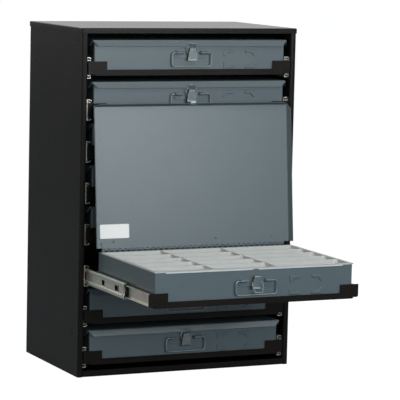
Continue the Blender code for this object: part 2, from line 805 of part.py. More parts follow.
def insert_mesh():
    """The moulded insert in its bay's frame: a lip that rests on the rim and fifteen pockets."""
    lip_half = BOX_HALF + INSERT_PROUD
    lip_front = FRONT + BOX_BACK - INSERT_PROUD
    lip_rear = FRONT + BOX_REAR - INSERT_SHORT
    low = BOX_BOTTOM + BOX_SHEET + GAP
    rim = BOX_RIM + GAP
    top = rim + INSERT_LIP
    inner_half = lip_half - INSERT_LIP_WIDTH
    inner_front = lip_front + INSERT_LIP_WIDTH
    inner_rear = lip_rear - INSERT_LIP_WIDTH
    tub = block(
        "insert",
        (-inner_half - INSERT_WALL, inner_front - INSERT_WALL, low),
        (inner_half + INSERT_WALL, inner_rear + INSERT_WALL, top - INSERT_LIP / 2),
    )
    lip = block("insert_lip", (-lip_half, lip_front, rim), (lip_half, lip_rear, top))
    skirt_top = rim + INSERT_LIP / 2
    skirts = [
        block(
            "front_skirt",
            (-lip_half + SKIRT_CORNER, lip_front, rim - SKIRT_FRONT_DROP),
            (lip_half - SKIRT_CORNER, lip_front + SKIRT, skirt_top),
        ),
        block("left_skirt", (-lip_half, lip_front, rim - SKIRT_DROP), (-lip_half + SKIRT, lip_rear, skirt_top)),
        block("right_skirt", (lip_half - SKIRT, lip_front, rim - SKIRT_DROP), (lip_half, lip_rear, skirt_top)),
    ]
    join(tub, [lip, pieces("skirts", skirts)])
    columns = [-inner_half, *[share * inner_half for share in DIVIDER_SHARES], inner_half]
    row = (inner_rear - inner_front) / ROWS
    pockets = []
    for index, (left, right) in enumerate(zip(columns, columns[1:])):
        left_wall = DIVIDER / 2 if index else 0
        right_wall = DIVIDER / 2 if index < len(DIVIDER_SHARES) else 0
        for count in range(ROWS):
            near = inner_front + count * row + (DIVIDER / 2 if count else 0)
            far = inner_front + (count + 1) * row - (DIVIDER / 2 if count < ROWS - 1 else 0)
            bm = cube((left + left_wall, near, low + INSERT_WALL), (right - right_wall, far, top + POCKET_OVER))
            lid_side = max(vert.co.z for vert in bm.verts)
            edges = [edge for edge in bm.edges if not all(vert.co.z > lid_side - WELD for vert in edge.verts)]
            bmesh.ops.bevel(bm, geom=edges, offset=POCKET_ROUND, segments=1, affect="EDGES")
            pockets.append(pattern("pocket", bm))
    notch = block(
        "notch",
        (-NOTCH_HALF, lip_front - OVERRUN, rim - SKIRT_FRONT_DROP - OVERRUN),
        (NOTCH_HALF, lip_front + SKIRT + GAP / 2, rim),
    )
    cut(tub, [pieces("pockets", pockets), notch])
    return meshed(tub)


def bail_curve():
    """The wire handle about its pivot line, hanging down."""
    corners = [
        (-BAIL_INNER, 0, 0),
        (-BAIL_HALF, 0, 0),
        (-BAIL_HALF, 0, -BAIL_DROP),
        (BAIL_HALF, 0, -BAIL_DROP),
        (BAIL_HALF, 0, 0),
        (BAIL_INNER, 0, 0),
    ]
    return wire("bail", rounded(corners, BAIL_ROUND), WIRE_RADIUS)


def lever_half(height):
    """Half the lever's width at a height in the bay."""
    share = (LEVER_TOP - height) / (LEVER_TOP - LEVER_LOW)
    return LEVER_TOP_HALF + (LEVER_LOW_HALF - LEVER_TOP_HALF) * share


def lever_pattern(loop_turns):
    """The latch's lever about its pivot: a tapered channel whose lips run out towards its end."""
    out = LEVER_OUT - LEVER_PIVOT_OUT
    low, top = LEVER_LOW - LEVER_PIVOT, LEVER_TOP - LEVER_PIVOT
    bm = cube((-LEVER_TOP_HALF, -out, low), (LEVER_TOP_HALF, LEVER_LIP - out, top))
    gone = [face for face in bm.faces if round(face.normal.y) > 0 or round(face.normal.z)]
    bmesh.ops.delete(bm, geom=gone, context="FACES")
    for vert in bm.verts:
        if vert.co.z < 0:
            vert.co.x = math.copysign(LEVER_LOW_HALF, vert.co.x)
            if vert.co.y > -out + GAP:
                vert.co.y = -out + LEVER_LIP_END
    lever = hidden("lever", bm)
    thicken(lever, LEVER_SHEET)
    reach = LEVER_LOW_HALF + OVERRUN
    loop_y = LEVER_PIVOT_OUT - LOOP_PIVOT_OUT
    loop_z = LOOP_PIVOT - LEVER_PIVOT
    bores = [rod("lever_bore", LEVER_BORE, HINGE_SIDES, (-reach, 0, 0), (reach, 0, 0))]
    if loop_turns:
        ends = ((-reach, loop_y, loop_z), (reach, loop_y, loop_z))
        bores.append(rod("loop_bore", LOOP_BORE, HINGE_SIDES, *ends))
    return cut(lever, [pieces("lever_bores", bores)])


def loop_path():
    """The wire loop about its own pivot, standing up."""
    side = lever_half(LOOP_PIVOT) + LOOP_SIDE_CLEAR + LOOP_RADIUS
    inner = lever_half(LOOP_PIVOT) - LEVER_SHEET - LOOP_RADIUS
    corners = [
        (-inner, 0, 0),
        (-side, 0, 0),
        (-side, 0, LOOP_LENGTH),
        (side, 0, LOOP_LENGTH),
        (side, 0, 0),
        (inner, 0, 0),
    ]
    return rounded(corners, LOOP_ROUND, 1)


def joined_latch_mesh():
    """Lever and loop in one, for the boxes behind the open lid, about the lever's pivot."""
    pivot = Vector((0, LEVER_PIVOT_OUT - LOOP_PIVOT_OUT, LOOP_PIVOT - LEVER_PIVOT))
    path = [point + pivot for point in loop_path()]
    return meshed(join(lever_pattern(False), [wire_piece("loop", path, LOOP_RADIUS)]))


def lid_lean():
    """How far past upright the open lid leans, so that it stops just short of what is behind it."""
    pin_y = PIN_BACK - TRAVEL
    pin_z = bay_height(OPEN_BAY) + PIN_HEIGHT
    lid_end = pin_z + PIN_BACK - LID_FRONT
    fittings = (
        (BAIL_OFFSET + WIRE_RADIUS, BAIL_PIVOT - BAIL_DROP - WIRE_RADIUS, BAIL_PIVOT + WIRE_RADIUS),
        (LEVER_OUT, LEVER_LOW, LEVER_TOP),
        (CATCH_OUT, LOOP_PIVOT, LOOP_PIVOT + LOOP_LENGTH),
    )
    leans = []
    for bay in JOINED_MIDDLES:
        for proud, low, high in fittings:
            if bay_height(bay) + low < lid_end:
                near = BOX_BACK - proud - LID_PLAY
                away = Vector((near - pin_y, min(bay_height(bay) + high, lid_end) - pin_z))
                leans.append(math.acos((LID_TOP - PIN_HEIGHT) / away.length) - math.atan2(away.y, away.x))
    return min(leans)


def middle_meshes():
    return {side: meshed(middle_member(side, 0, True)) for side in (-1, 1)}


def drawers():
    carrier = carrier_mesh()
    plain_box = box_mesh(False)
    open_box = box_mesh(True)
    plain_lid = lid_mesh(False)
    open_lid = lid_mesh(True)
    bail = bail_curve()
    lever = meshed(lever_pattern(True))
    loop = wire("loop", loop_path(), LOOP_RADIUS)
    latch = joined_latch_mesh()
    middles = middle_meshes()
    for bay in range(1, BAYS + 1):
        is_open = bay == OPEN_BAY
        out = TRAVEL if is_open else 0
        height = bay_height(bay)
        drawer = bpy.data.objects.new(f"drawer_{bay}", None)
        drawer.location = (0, -out, height)
        RACK.objects.link(drawer)
        place(f"carrier_{bay}", carrier, CARRIER_BLACK, drawer)
        place(f"box_{bay}", open_box if is_open else plain_box, ENAMEL, drawer)
        pin = (0, FRONT + PIN_BACK, PIN_HEIGHT)
        lean = -math.pi / 2 - lid_lean() if is_open else 0
        place(f"lid_{bay}", open_lid if is_open else plain_lid, ENAMEL, drawer, pin, lean)
        bail_pivot = (0, FRONT + BOX_BACK - BAIL_OFFSET, BAIL_PIVOT)
        place(f"bail_{bay}", bail, BRIGHT, drawer, bail_pivot)
        lever_pivot = (0, FRONT + BOX_BACK - LEVER_PIVOT_OUT, LEVER_PIVOT)
        if bay in JOINED_MIDDLES:
            place(f"latch_{bay}", latch, BRIGHT, drawer, lever_pivot)
            continue
        place(f"lever_{bay}", lever, BRIGHT, drawer, lever_pivot)
        loop_pivot = (0, FRONT + BOX_BACK - LOOP_PIVOT_OUT, LOOP_PIVOT)
        hang = math.pi - LOOP_HANG if is_open else 0
        place(f"loop_{bay}", loop, BRIGHT, drawer, loop_pivot, hang)
        middle = bpy.data.objects.new(f"middle_{bay}", None)
        middle.location = (0, -out * MIDDLE_SHARE, height)
        RACK.objects.link(middle)
        for side, label in ((-1, "left"), (1, "right")):
            place(f"slide_middle_{label}_{bay}", middles[side], ZINC, middle)
    tray = bpy.data.objects[f"drawer_{OPEN_BAY}"]
    place(f"insert_{OPEN_BAY}", insert_mesh(), PLASTIC, tray)


cabinet()
drawers()
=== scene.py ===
import json
import math

import bmesh
import bpy
from mathutils import Matrix, Vector


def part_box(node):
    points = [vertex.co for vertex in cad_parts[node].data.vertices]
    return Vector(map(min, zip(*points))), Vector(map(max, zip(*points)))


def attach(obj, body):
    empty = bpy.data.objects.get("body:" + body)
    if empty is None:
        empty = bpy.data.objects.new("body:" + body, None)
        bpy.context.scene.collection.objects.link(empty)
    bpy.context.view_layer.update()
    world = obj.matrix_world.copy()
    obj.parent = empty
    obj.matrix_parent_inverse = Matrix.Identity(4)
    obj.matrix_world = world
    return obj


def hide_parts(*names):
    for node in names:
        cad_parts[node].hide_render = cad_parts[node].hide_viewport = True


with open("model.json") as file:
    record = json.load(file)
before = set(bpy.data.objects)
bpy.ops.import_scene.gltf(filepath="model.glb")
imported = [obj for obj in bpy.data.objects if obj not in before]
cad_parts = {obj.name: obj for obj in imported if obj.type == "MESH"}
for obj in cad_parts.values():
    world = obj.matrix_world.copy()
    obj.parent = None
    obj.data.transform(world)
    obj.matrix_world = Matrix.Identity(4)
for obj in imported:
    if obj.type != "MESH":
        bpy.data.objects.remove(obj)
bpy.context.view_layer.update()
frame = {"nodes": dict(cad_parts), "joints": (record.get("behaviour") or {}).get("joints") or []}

bpy.ops.object.select_all(action="DESELECT")


# Camera: stands to the left of the rack at chest height, about five metres off, with a long
# lens, as for a catalogue picture. The photograph's frame is 400 by 400 pixels.
CAMERA_PLACE = (-2.05293, -4.66854, 0.97001)
CAMERA_YAW = math.radians(24.77)
CAMERA_PITCH = math.radians(6.82)
CAMERA_ROLL = math.radians(1.30)
CAMERA_LENS = 206.85
CAMERA_SENSOR = 36
CAMERA_REACH = 200

ahead = Vector((
    math.sin(CAMERA_YAW) * math.cos(CAMERA_PITCH),
    math.cos(CAMERA_YAW) * math.cos(CAMERA_PITCH),
    -math.sin(CAMERA_PITCH),
))
level = Vector((math.cos(CAMERA_YAW), -math.sin(CAMERA_YAW), 0))
upward = level.cross(ahead)
right = level * math.cos(CAMERA_ROLL) + upward * math.sin(CAMERA_ROLL)
top_way = upward * math.cos(CAMERA_ROLL) - level * math.sin(CAMERA_ROLL)
camera_data = bpy.data.cameras.new("camera")
camera_data.lens = CAMERA_LENS
camera_data.sensor_width = CAMERA_SENSOR
camera_data.clip_end = CAMERA_REACH
camera = bpy.data.objects.new("camera", camera_data)
camera_turn = Matrix((right, top_way, -ahead)).transposed().to_4x4()
camera.matrix_world = Matrix.Translation(CAMERA_PLACE) @ camera_turn
bpy.context.scene.collection.objects.link(camera)
bpy.context.scene.camera = camera
bpy.context.scene.view_settings.view_transform = "Standard"


# Studio: a white sweep in a pale room with four soft lamps: one high and just ahead of the rack,
# one far in front on the right, one nearer in front, and one low on the left. The floor keeps
# the rack's soft shadow.
FLOOR_HALF = 60
FLOOR_PAINT = "#8b959f"
FLOOR_GLOW = 0.96
FLOOR_SHEEN = 0.16
ROOM_WHITE = "#ffffff"
ROOM_GREY = "#cdd5db"
ROOM_LIGHT = 0.24


def rgb(text):
    """An sRGB hex colour as linear values."""
    parts = [int(text[i:i + 2], 16) / 255 for i in (1, 3, 5)]
    return (*[v / 12.92 if v <= 0.04045 else ((v + 0.055) / 1.055) ** 2.4 for v in parts], 1)


def add(tree, kind, inputs=None, **settings):
    """Adds one node with its settings and inputs, which are values or links. A node given as an
    input stands for its first output."""
    made = tree.nodes.new(kind)
    for name, value in settings.items():
        setattr(made, name, value)
    for name, value in (inputs or {}).items():
        if isinstance(value, bpy.types.Node):
            value = value.outputs[0]
        if isinstance(value, bpy.types.NodeSocket):
            tree.links.new(value, made.inputs[name])
        else:
            made.inputs[name].default_value = value
    return made


def blank(name):
    """A material with an empty node tree, and its tree."""
    made = bpy.data.materials.new(name)
    made.use_nodes = True
    made.node_tree.nodes.clear()
    return made, made.node_tree


world = bpy.data.worlds.new("studio")
bpy.context.scene.world = world
world.use_nodes = True
tree = world.node_tree
tree.nodes.clear()
path = add(tree, "ShaderNodeLightPath")
seen = add(tree, "ShaderNodeMath", {
    0: path.outputs["Is Camera Ray"], 1: path.outputs["Is Glossy Ray"]}, operation="MAXIMUM")
seen = add(
    tree, "ShaderNodeMath", {0: seen, 1: path.outputs["Is Transmission Ray"]}, operation="MAXIMUM")
lit = add(tree, "ShaderNodeBackground", {"Color": rgb(ROOM_GREY), "Strength": ROOM_LIGHT})
shown = add(tree, "ShaderNodeBackground", {"Color": rgb(ROOM_WHITE), "Strength": 1.0})
mixed = add(tree, "ShaderNodeMixShader", {0: seen, 1: lit, 2: shown})
add(tree, "ShaderNodeOutputWorld", {"Surface": mixed})

bpy.ops.mesh.primitive_plane_add(size=2 * FLOOR_HALF, location=(0, 0, 0))
floor = bpy.context.object
floor.name = "floor"
floor_look, tree = blank("white_sweep")
path = add(tree, "ShaderNodeLightPath")
mirrored = add(tree, "ShaderNodeMath", {
    0: path.outputs["Is Glossy Ray"], 1: path.outputs["Is Transmission Ray"]}, operation="MAXIMUM")
sheen = add(tree, "ShaderNodeMath", {0: mirrored, 1: FLOOR_SHEEN}, operation="MULTIPLY")
share = add(tree, "ShaderNodeMath", {
    0: path.outputs["Is Camera Ray"], 1: FLOOR_GLOW, 2: sheen}, operation="MULTIPLY_ADD")
paint = add(tree, "ShaderNodeBsdfDiffuse", {"Color": rgb(FLOOR_PAINT)})
glow = add(tree, "ShaderNodeEmission", {"Color": rgb(ROOM_WHITE), "Strength": share})
mixed = add(tree, "ShaderNodeAddShader", {0: paint, 1: glow})
add(tree, "ShaderNodeOutputMaterial", {"Surface": mixed})
floor.data.materials.append(floor_look)

# Each lamp's name, place, width in metres, power in watts and colour.
LAMPS = (
    ("key", (0.25, -1.5, 2.4), 1.0, 16, "#fff1dc"),
    ("side", (1.2, -3.9, 1.1), 1.0, 33, "#f4faff"),
    ("fill", (-0.2, -2.9, 1.15), 0.8, 23, "#eaf4ff"),
    ("left", (-3.0, -1.45, 0.75), 0.8, 15, "#fff6e8"),
)
LAMP_AIM = Vector((0, -0.2, 0.4))
for name, place, size, power, tint in LAMPS:
    lamp_data = bpy.data.lights.new(name, "AREA")
    lamp_data.color = rgb(tint)[:3]
    lamp_data.size = size
    lamp_data.energy = power
    lamp = bpy.data.objects.new(name, lamp_data)
    lamp.location = place
    lamp.rotation_euler = (LAMP_AIM - Vector(place)).to_track_quat("-Z", "Y").to_euler()
    bpy.context.scene.collection.objects.link(lamp)


# Cabinet sides: a sheet of steel on each side, bent at the front and rear into narrow flanges
# with returns behind them, punched for two screws, and powder coated black in one batch.
SHEET = 0.0015
BEND = 0.0022
SIDE_FACE = 0.2522
POST_EDGE = 0.240
POST_RETURN = 0.03
CAP_LOW = 0.7375
SIDE_TOP = 0.7472
SCREW_RADIUS = 0.0022
SCREW_BACK = 0.034
SCREW_HEIGHTS = (0.0915, 0.722)
SCREW_SIDES = 24
EDGE = 0.0002
SLACK = 0.01

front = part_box("base")[0].y
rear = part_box("base")[1].y
SHARP = math.radians(32)
BEND_STEPS = 5


def pick(piece):
    """Makes one piece active, and the only one selected."""
    bpy.ops.object.select_all(action="DESELECT")
    piece.select_set(True)
    bpy.context.view_layer.objects.active = piece


def settle(piece):
    """Applies a piece's modifiers in order."""
    pick(piece)
    for step in list(piece.modifiers):
        bpy.ops.object.modifier_apply(modifier=step.name)


def soften(piece, width, steps=2):
    """Rounds a piece's sharp edges and shades it so that its flat faces stay flat."""
    pick(piece)
    bpy.ops.object.shade_smooth_by_angle(angle=SHARP)
    if width:
        bevel = piece.modifiers.new("bevel", "BEVEL")
        bevel.width = width
        bevel.segments = steps
        bevel.limit_method = "ANGLE"
        bevel.angle_limit = SHARP
        settle(piece)
        bpy.ops.object.shade_smooth_by_angle(angle=SHARP)
    weighted = piece.modifiers.new("normals", "WEIGHTED_NORMAL")
    weighted.keep_sharp = True
    settle(piece)


def outward(piece, merge=0.0, flatten=0.0):
    """Merges points closer than one size, dissolves near-flat edges, and turns faces outwards."""
    pick(piece)
    bpy.ops.object.mode_set(mode="EDIT")
    bpy.ops.mesh.select_all(action="SELECT")
    if merge:
        bpy.ops.mesh.remove_doubles(threshold=merge)
    if flatten:
        bpy.ops.mesh.dissolve_limited(angle_limit=flatten)
    bpy.ops.mesh.normals_make_consistent(inside=False)
    bpy.ops.object.mode_set(mode="OBJECT")


def walled(piece, sheet, offset, even=True):
    """Gives an open surface the thickness of its sheet."""
    wall = piece.modifiers.new("wall", "SOLIDIFY")
    wall.thickness = sheet
    wall.offset = offset
    wall.use_even_offset = even
    settle(piece)


def bent(corners, radii, steps=BEND_STEPS):
    """A line through corners, each rounded by its radius, as a press brake leaves it."""
    line = [Vector(corners[0])]
    for before, corner, after, radius in zip(corners, corners[1:], corners[2:], radii):
        corner = Vector(corner)
        back = (Vector(before) - corner).normalized()
        onward = (Vector(after) - corner).normalized()
        half = back.angle(onward) / 2
        reach = radius / math.tan(half)
        centre = corner + (back + onward).normalized() * (radius / math.sin(half))
        start, end = corner + back * reach - centre, corner + onward * reach - centre
        turn = start.angle_signed(end)
        for step in range(steps + 1):
            angle = -turn * step / steps
            line.append(centre + Matrix.Rotation(angle, 2) @ start)
    line.append(Vector(corners[-1]))
    return line


def drawn(name, lines, closed, settings):
    """A curve with straight stretches through each line's points, made a mesh."""
    curve = bpy.data.curves.new(name, "CURVE")
    for key, value in settings.items():
        setattr(curve, key, value)
    for line in lines:
        spline = curve.splines.new("POLY")
        spline.points.add(len(line) - 1)
        for point, place in zip(spline.points, line):
            point.co = (*Vector(place).to_3d(), 1)
        spline.use_cyclic_u = closed
    piece = bpy.data.objects.new(name, curve)
    bpy.context.scene.collection.objects.link(piece)
    pick(piece)
    bpy.ops.object.convert(target="MESH")
    return bpy.context.object


def folded(name, line, length, sheet, turn, edge=EDGE):
    """Sheet bent along a line, which is its middle, run straight for a length and set in place."""
    flat = {"dimensions": "2D", "fill_mode": "NONE", "extrude": length / 2}
    piece = drawn(name, [line], False, flat)
    walled(piece, sheet, 0)
    piece.data.transform(turn)
    outward(piece)
    soften(piece, edge, 1)
    return piece


def block(name, low, high):
    """A cube set to two corners, to be shaped further."""
    low, high = Vector(low), Vector(high)
    bpy.ops.mesh.primitive_cube_add(size=1, location=(low + high) / 2, scale=high - low)
    piece = bpy.context.object
    piece.name = name
    pick(piece)
    bpy.ops.object.transform_apply()
    return piece


def bar(name, radius, sides, start, end):
    """A round bar between two points, along X, Y or Z."""
    start, end = Vector(start), Vector(end)
    bpy.ops.mesh.primitive_cylinder_add(vertices=sides, radius=radius, depth=(end - start).length)
    piece = bpy.context.object
    piece.name = name
    way = Vector((0, 0, 1)).rotation_difference(end - start).to_matrix().to_4x4()
    piece.data.transform(Matrix.Translation((start + end) / 2) @ way)
    return piece


def cut(piece, cutters):
    """Takes cutters out of a piece and throws them away."""
    for cutter in cutters:
        step = piece.modifiers.new("cut", "BOOLEAN")
        step.operation = "DIFFERENCE"
        step.object = cutter
    settle(piece)
    for cutter in cutters:
        bpy.data.objects.remove(cutter)


def finish(piece, body, slot, look, replaced=()):
    """Gives a piece its material and the body that it moves with; the slot is not used."""
    piece.data.materials.clear()
    piece.data.materials.append(look)
    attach(piece, body)
    if replaced:
        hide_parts(*replaced)


def fitted(pattern, name, move, *finishing):
    """Finishes a copy of a pattern, with a mesh of its own, moved or mirrored in that mesh."""
    piece = bpy.data.objects.new(name, pattern.data.copy())
    piece.data.name = name
    piece.data.transform(move)
    if move.determinant() < 0:
        piece.data.flip_normals()
    bpy.context.scene.collection.objects.link(piece)
    finish(piece, *finishing)


def discard(*patterns):
    """Removes the patterns that pieces were copied from."""
    for pattern in patterns:
        bpy.data.objects.remove(pattern)


# Powder coat on steel: melted and cured black polyester, which gives the eye an even, slightly
# grainy black with a soft sheen. Its grain is drawn at 1.6 mm, coarser than real, to show.
POWDER_BLACK = "#151412"
POWDER_GREY = "#1f1d1b"
POWDER_SHEEN = 0.09
POWDER_ROUGH = (0.18, 0.34)
POWDER_GRAIN = 0.0016
POWDER_RISE = 0.0002
POWDER_RELIEF = 0.25
POWDER_CLOUD = 0.12
POWDER_TONES = (0.12, 0.42)


def powder_coat(name, dark, light, sheen):
    """Black powder coat between a darker and a lighter tone, with a grain that also dulls it."""
    look, tree = blank(name)
    place = add(tree, "ShaderNodeTexCoord").outputs["Object"]
    grain = add(tree, "ShaderNodeTexNoise", {
        "Vector": place, "Scale": 1 / POWDER_GRAIN, "Detail": 3.0, "Roughness": 0.6})
    cloud = add(tree, "ShaderNodeTexNoise", {
        "Vector": place, "Scale": 1 / POWDER_CLOUD, "Detail": 2.0})
    both = add(tree, "ShaderNodeMath", {0: grain, 1: cloud}, operation="MULTIPLY")
    tone = add(tree, "ShaderNodeMapRange", {
        "Value": both, "From Min": POWDER_TONES[0], "From Max": POWDER_TONES[1]})
    colour = add(
        tree, "ShaderNodeMix", {0: tone, 6: rgb(dark), 7: rgb(light)}, data_type="RGBA")
    gloss = add(tree, "ShaderNodeMapRange", {
        "Value": grain, "To Min": POWDER_ROUGH[0], "To Max": POWDER_ROUGH[1]})
    bump = add(tree, "ShaderNodeBump", {
        "Height": grain, "Strength": POWDER_RELIEF, "Distance": POWDER_RISE})
    shader = add(tree, "ShaderNodeBsdfPrincipled", {
        "Base Color": colour.outputs[2], "Roughness": gloss, "Normal": bump,
        "Specular IOR Level": sheen})
    add(tree, "ShaderNodeOutputMaterial", {"Surface": shader})
    return look


cabinet_black = powder_coat("cabinet_powder_coat", POWDER_BLACK, POWDER_GREY, POWDER_SHEEN)
# What stands on the right is the left one mirrored.
HANDS = (("left", Matrix()), ("right", Matrix.Scale(-1, 4, (1, 0, 0))))

side_x = -(SIDE_FACE - SHEET / 2)
post_x = -(POST_EDGE + SHEET / 2)
front_y = front + SHEET / 2
rear_y = rear - SHEET / 2
corners = [
    (post_x, front + POST_RETURN),
    (post_x, front_y),
    (side_x, front_y),
    (side_x, rear_y),
    (post_x, rear_y),
    (post_x, rear - POST_RETURN),
]
upright = Matrix.Translation((0, 0, SIDE_TOP / 2))
side = folded("side", bent(corners, (BEND,) * 4), SIDE_TOP, SHEET, upright)
cutters = []
for near, far in ((front - SLACK, front + 2 * SHEET), (rear - 2 * SHEET, rear + SLACK)):
    low, high = (side_x - SLACK, near, CAP_LOW), (post_x + SLACK, far, SIDE_TOP + SLACK)
    cutters.append(block("corner", low, high))
for height in SCREW_HEIGHTS:
    ends = [(x, front + SCREW_BACK, height) for x in (side_x - SLACK, side_x + SLACK / 2)]
    cutters.append(bar("punched", SCREW_RADIUS, SCREW_SIDES, *ends))
cut(side, cutters)
soften(side, 0)
for label, flip in HANDS:
    fitted(side, f"{label}_side_sheet", flip, "rack", "black_powder_coat", cabinet_black,
           [f"{label}_side"])
discard(side)


# Top cap: one sheet folded down on four sides and dropped over the cabinet, in the same
# black powder coat. The bends are as tight as the press brake makes them.
CAP_FOLD = 0.0115
FOLD_STEPS = 4


def choose(kind, test):
    """In edit mode, selects the faces or edges that pass a test, and no others."""
    bpy.ops.mesh.select_mode(type=kind)
    bpy.ops.mesh.select_all(action="DESELECT")
    mesh = bpy.context.edit_object.data
    bm = bmesh.from_edit_mesh(mesh)
    for item in bm.faces if kind == "FACE" else bm.edges:
        if test(item):
            item.select_set(True)
    bmesh.update_edit_mesh(mesh)


def pressed(piece, radius, sheet):
    """Rounds a surface's folds and gives it its sheet, inwards from its outer face."""
    bend = piece.modifiers.new("bend", "BEVEL")
    bend.width = radius
    bend.segments = FOLD_STEPS
    walled(piece, sheet, -1)


low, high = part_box("top")
cap = block("top_cap", (low.x, low.y, high.z - CAP_FOLD), high)
bpy.ops.object.mode_set(mode="EDIT")
choose("FACE", lambda face: face.normal.z < -0.5)
bpy.ops.mesh.delete(type="FACE")
bpy.ops.object.mode_set(mode="OBJECT")
pressed(cap, BEND, SHEET)
soften(cap, EDGE, 1)
finish(cap, "rack", "black_powder_coat", cabinet_black, ["top"])


# Base pan: black sheet with a rail folded up at the front and the rear. It reaches the sides
# under the slides, and its corners are notched round the sides' flanges.
BASE_REACH = 0.2505
BASE_RAIL = 0.014
BASE_GAP = 0.0003
ACROSS = Matrix(((0, 0, 1, 0), (1, 0, 0, 0), (0, 1, 0, 0), (0, 0, 0, 1)))

corners = [(front_y, BASE_RAIL), (front_y, SHEET / 2), (rear_y, SHEET / 2), (rear_y, BASE_RAIL)]
base_pan = folded("base_pan", bent(corners, (BEND, BEND)), 2 * BASE_REACH, SHEET, ACROSS)
notch_depth = POST_RETURN + BASE_GAP
notches = []
for way in (-1, 1):
    left, right_end = sorted((way * (POST_EDGE - BASE_GAP), way * (BASE_REACH + SLACK)))
    for near, far in ((front - SLACK, front + notch_depth), (rear - notch_depth, rear + SLACK)):
        low, high = (left, near, -SLACK), (right_end, far, BASE_RAIL + SLACK)
        notches.append(block("notch", low, high))
cut(base_pan, notches)
soften(base_pan, 0)
finish(base_pan, "rack", "black_powder_coat", cabinet_black, ["base"])


# Back panel: a plain black sheet that closes the cabinet between the rear flanges, where the
# frame's own shape serves.
back = frame["nodes"]["back"]
back.data.materials.clear()
back.data.materials.append(cabinet_black)


# Slides: three nested rails of rolled, zinc-plated steel on each side of a drawer. The outer
# rail is fixed to the cabinet, and on the left of bays 2 to 6 its end shows just behind the
# front. The inner rail is fixed to the carrier, and the middle one runs on balls between them.
RAIL_SHEET = 0.0012
OUTER_SHEET = 0.0016
RAIL_BEND = 0.0012
RACE_BEND = 0.0026
RAIL_START = 0.009
RAIL_LENGTH = 0.302
RAIL_FORWARD = 0.0074
FORWARD_ENDS = [("left", bay) for bay in (2, 3, 4, 5, 6)]
OUTER_HALF = 0.0217
OUTER_DEPTH = 0.0102
OUTER_LIP = 0.0187
MIDDLE_START = 0.0095
MIDDLE_LENGTH = 0.3
MIDDLE_HALF = 0.01625
MIDDLE_DEPTH = 0.0103
MIDDLE_BACK = 0.0028
MIDDLE_RECESS = 0.0052
MIDDLE_LIP = 0.0141
RECESS_HALF = 0.0080
RECESS_EDGE = 0.0098
INNER_START = 0.009
INNER_LENGTH = 0.292
INNER_HALF = 0.0121
INNER_TIP = 0.0046
SLIDE_DEPTH = 0.0127
SLIDE_HALF = 0.0225
STOP_LENGTH = 0.0095
STOP_LEAD = 0.0010
STOP_HALF = 0.0150
STOP_WAIST_END = 0.0100
STOP_WAIST = 0.0030
STOP_WAIST_HALF = 0.0055
SLOT_PLACES = (0.0428, 0.117)
SLOT_LENGTHS = (0.022, 0.016)
SLOT_TALL = 0.0115

# Zinc plate, passivated after rolling: streaks about 4 mm apart are drawn out along the rail,
# and stains of 22 mm shade from pink to olive.
ZINC_PALE = "#d4d6cb"
ZINC_DARK = "#a6aaa1"
ZINC_PINK = "#c7a8a4"
ZINC_OLIVE = "#b9bd9c"
ZINC_STREAK = 0.004
ZINC_DRAW = 0.05
ZINC_RELIEF = 0.05
ZINC_RISE = 0.0001
ZINC_PATCH = 0.022
ZINC_ROUGH = (0.30, 0.42)
STAIN_REACH = (0.48, 0.66)
STAIN_DEPTH = 0.8
HUE_REACH = (0.45, 0.55)
HUE_SPREAD = 0.4
CARRIER_FLOOR = 0.0063
BAYS = range(1, 9)
# In these bays, which the open lid doesn't block, the middle rails and latches move.
FREE_BAYS = (1, 6, 7, 8)


def plated(name, pale, dark, stains, rough):
    """Plated or bare steel between two greys, with drawn streaks and two kinds of stain."""
    look, tree = blank(name)
    place = add(tree, "ShaderNodeTexCoord").outputs["Object"]
    along = add(tree, "ShaderNodeMapping", {"Vector": place, "Scale": (1, ZINC_DRAW, 1)})
    streak = add(tree, "ShaderNodeTexNoise", {
        "Vector": along, "Scale": 1 / ZINC_STREAK, "Detail": 3.0})
    cloud = add(tree, "ShaderNodeTexNoise", {
        "Vector": place, "Scale": 1 / ZINC_PATCH, "Detail": 3.0, "Roughness": 0.6})
    base = add(tree, "ShaderNodeMix", {0: streak, 6: rgb(dark), 7: rgb(pale)}, data_type="RGBA")
    stain = add(tree, "ShaderNodeMapRange", {
        "Value": cloud, "From Min": STAIN_REACH[0], "From Max": STAIN_REACH[1],
        "To Max": STAIN_DEPTH})
    hue = add(tree, "ShaderNodeTexNoise", {"Vector": place, "Scale": HUE_SPREAD / ZINC_PATCH})
    hue = add(tree, "ShaderNodeMapRange", {
        "Value": hue, "From Min": HUE_REACH[0], "From Max": HUE_REACH[1]})
    tint = add(
        tree, "ShaderNodeMix", {0: hue, 6: rgb(stains[0]), 7: rgb(stains[1])}, data_type="RGBA")
    colour = add(tree, "ShaderNodeMix", {
        0: stain, 6: base.outputs[2], 7: tint.outputs[2]}, data_type="RGBA")
    gloss = add(tree, "ShaderNodeMapRange", {
        "Value": streak, "To Min": rough[0], "To Max": rough[1]})
    bump = add(tree, "ShaderNodeBump", {
        "Height": streak, "Strength": ZINC_RELIEF, "Distance": ZINC_RISE})
    shader = add(tree, "ShaderNodeBsdfPrincipled", {
        "Base Color": colour.outputs[2], "Metallic": 1.0, "Roughness": gloss, "Normal": bump})
    add(tree, "ShaderNodeOutputMaterial", {"Surface": shader})
    return look


zinc = plated(
    "zinc_plated_rail", ZINC_PALE, ZINC_DARK, (ZINC_PINK, ZINC_OLIVE), ZINC_ROUGH)
# Points closer than MERGE become one, and edges flatter than FLATTEN go.
MERGE = 0.00001
FLATTEN = 0.01
ALONG = Matrix(((1, 0, 0, 0), (0, 0, 1, 0), (0, 1, 0, 0), (0, 0, 0, 1)))


def joined(name, parts):
    """Several meshes as one object."""
    pick(parts[0])
    for part in parts:
        part.select_set(True)
    bpy.ops.object.join()
    piece = bpy.context.object
    piece.name = name
    return piece


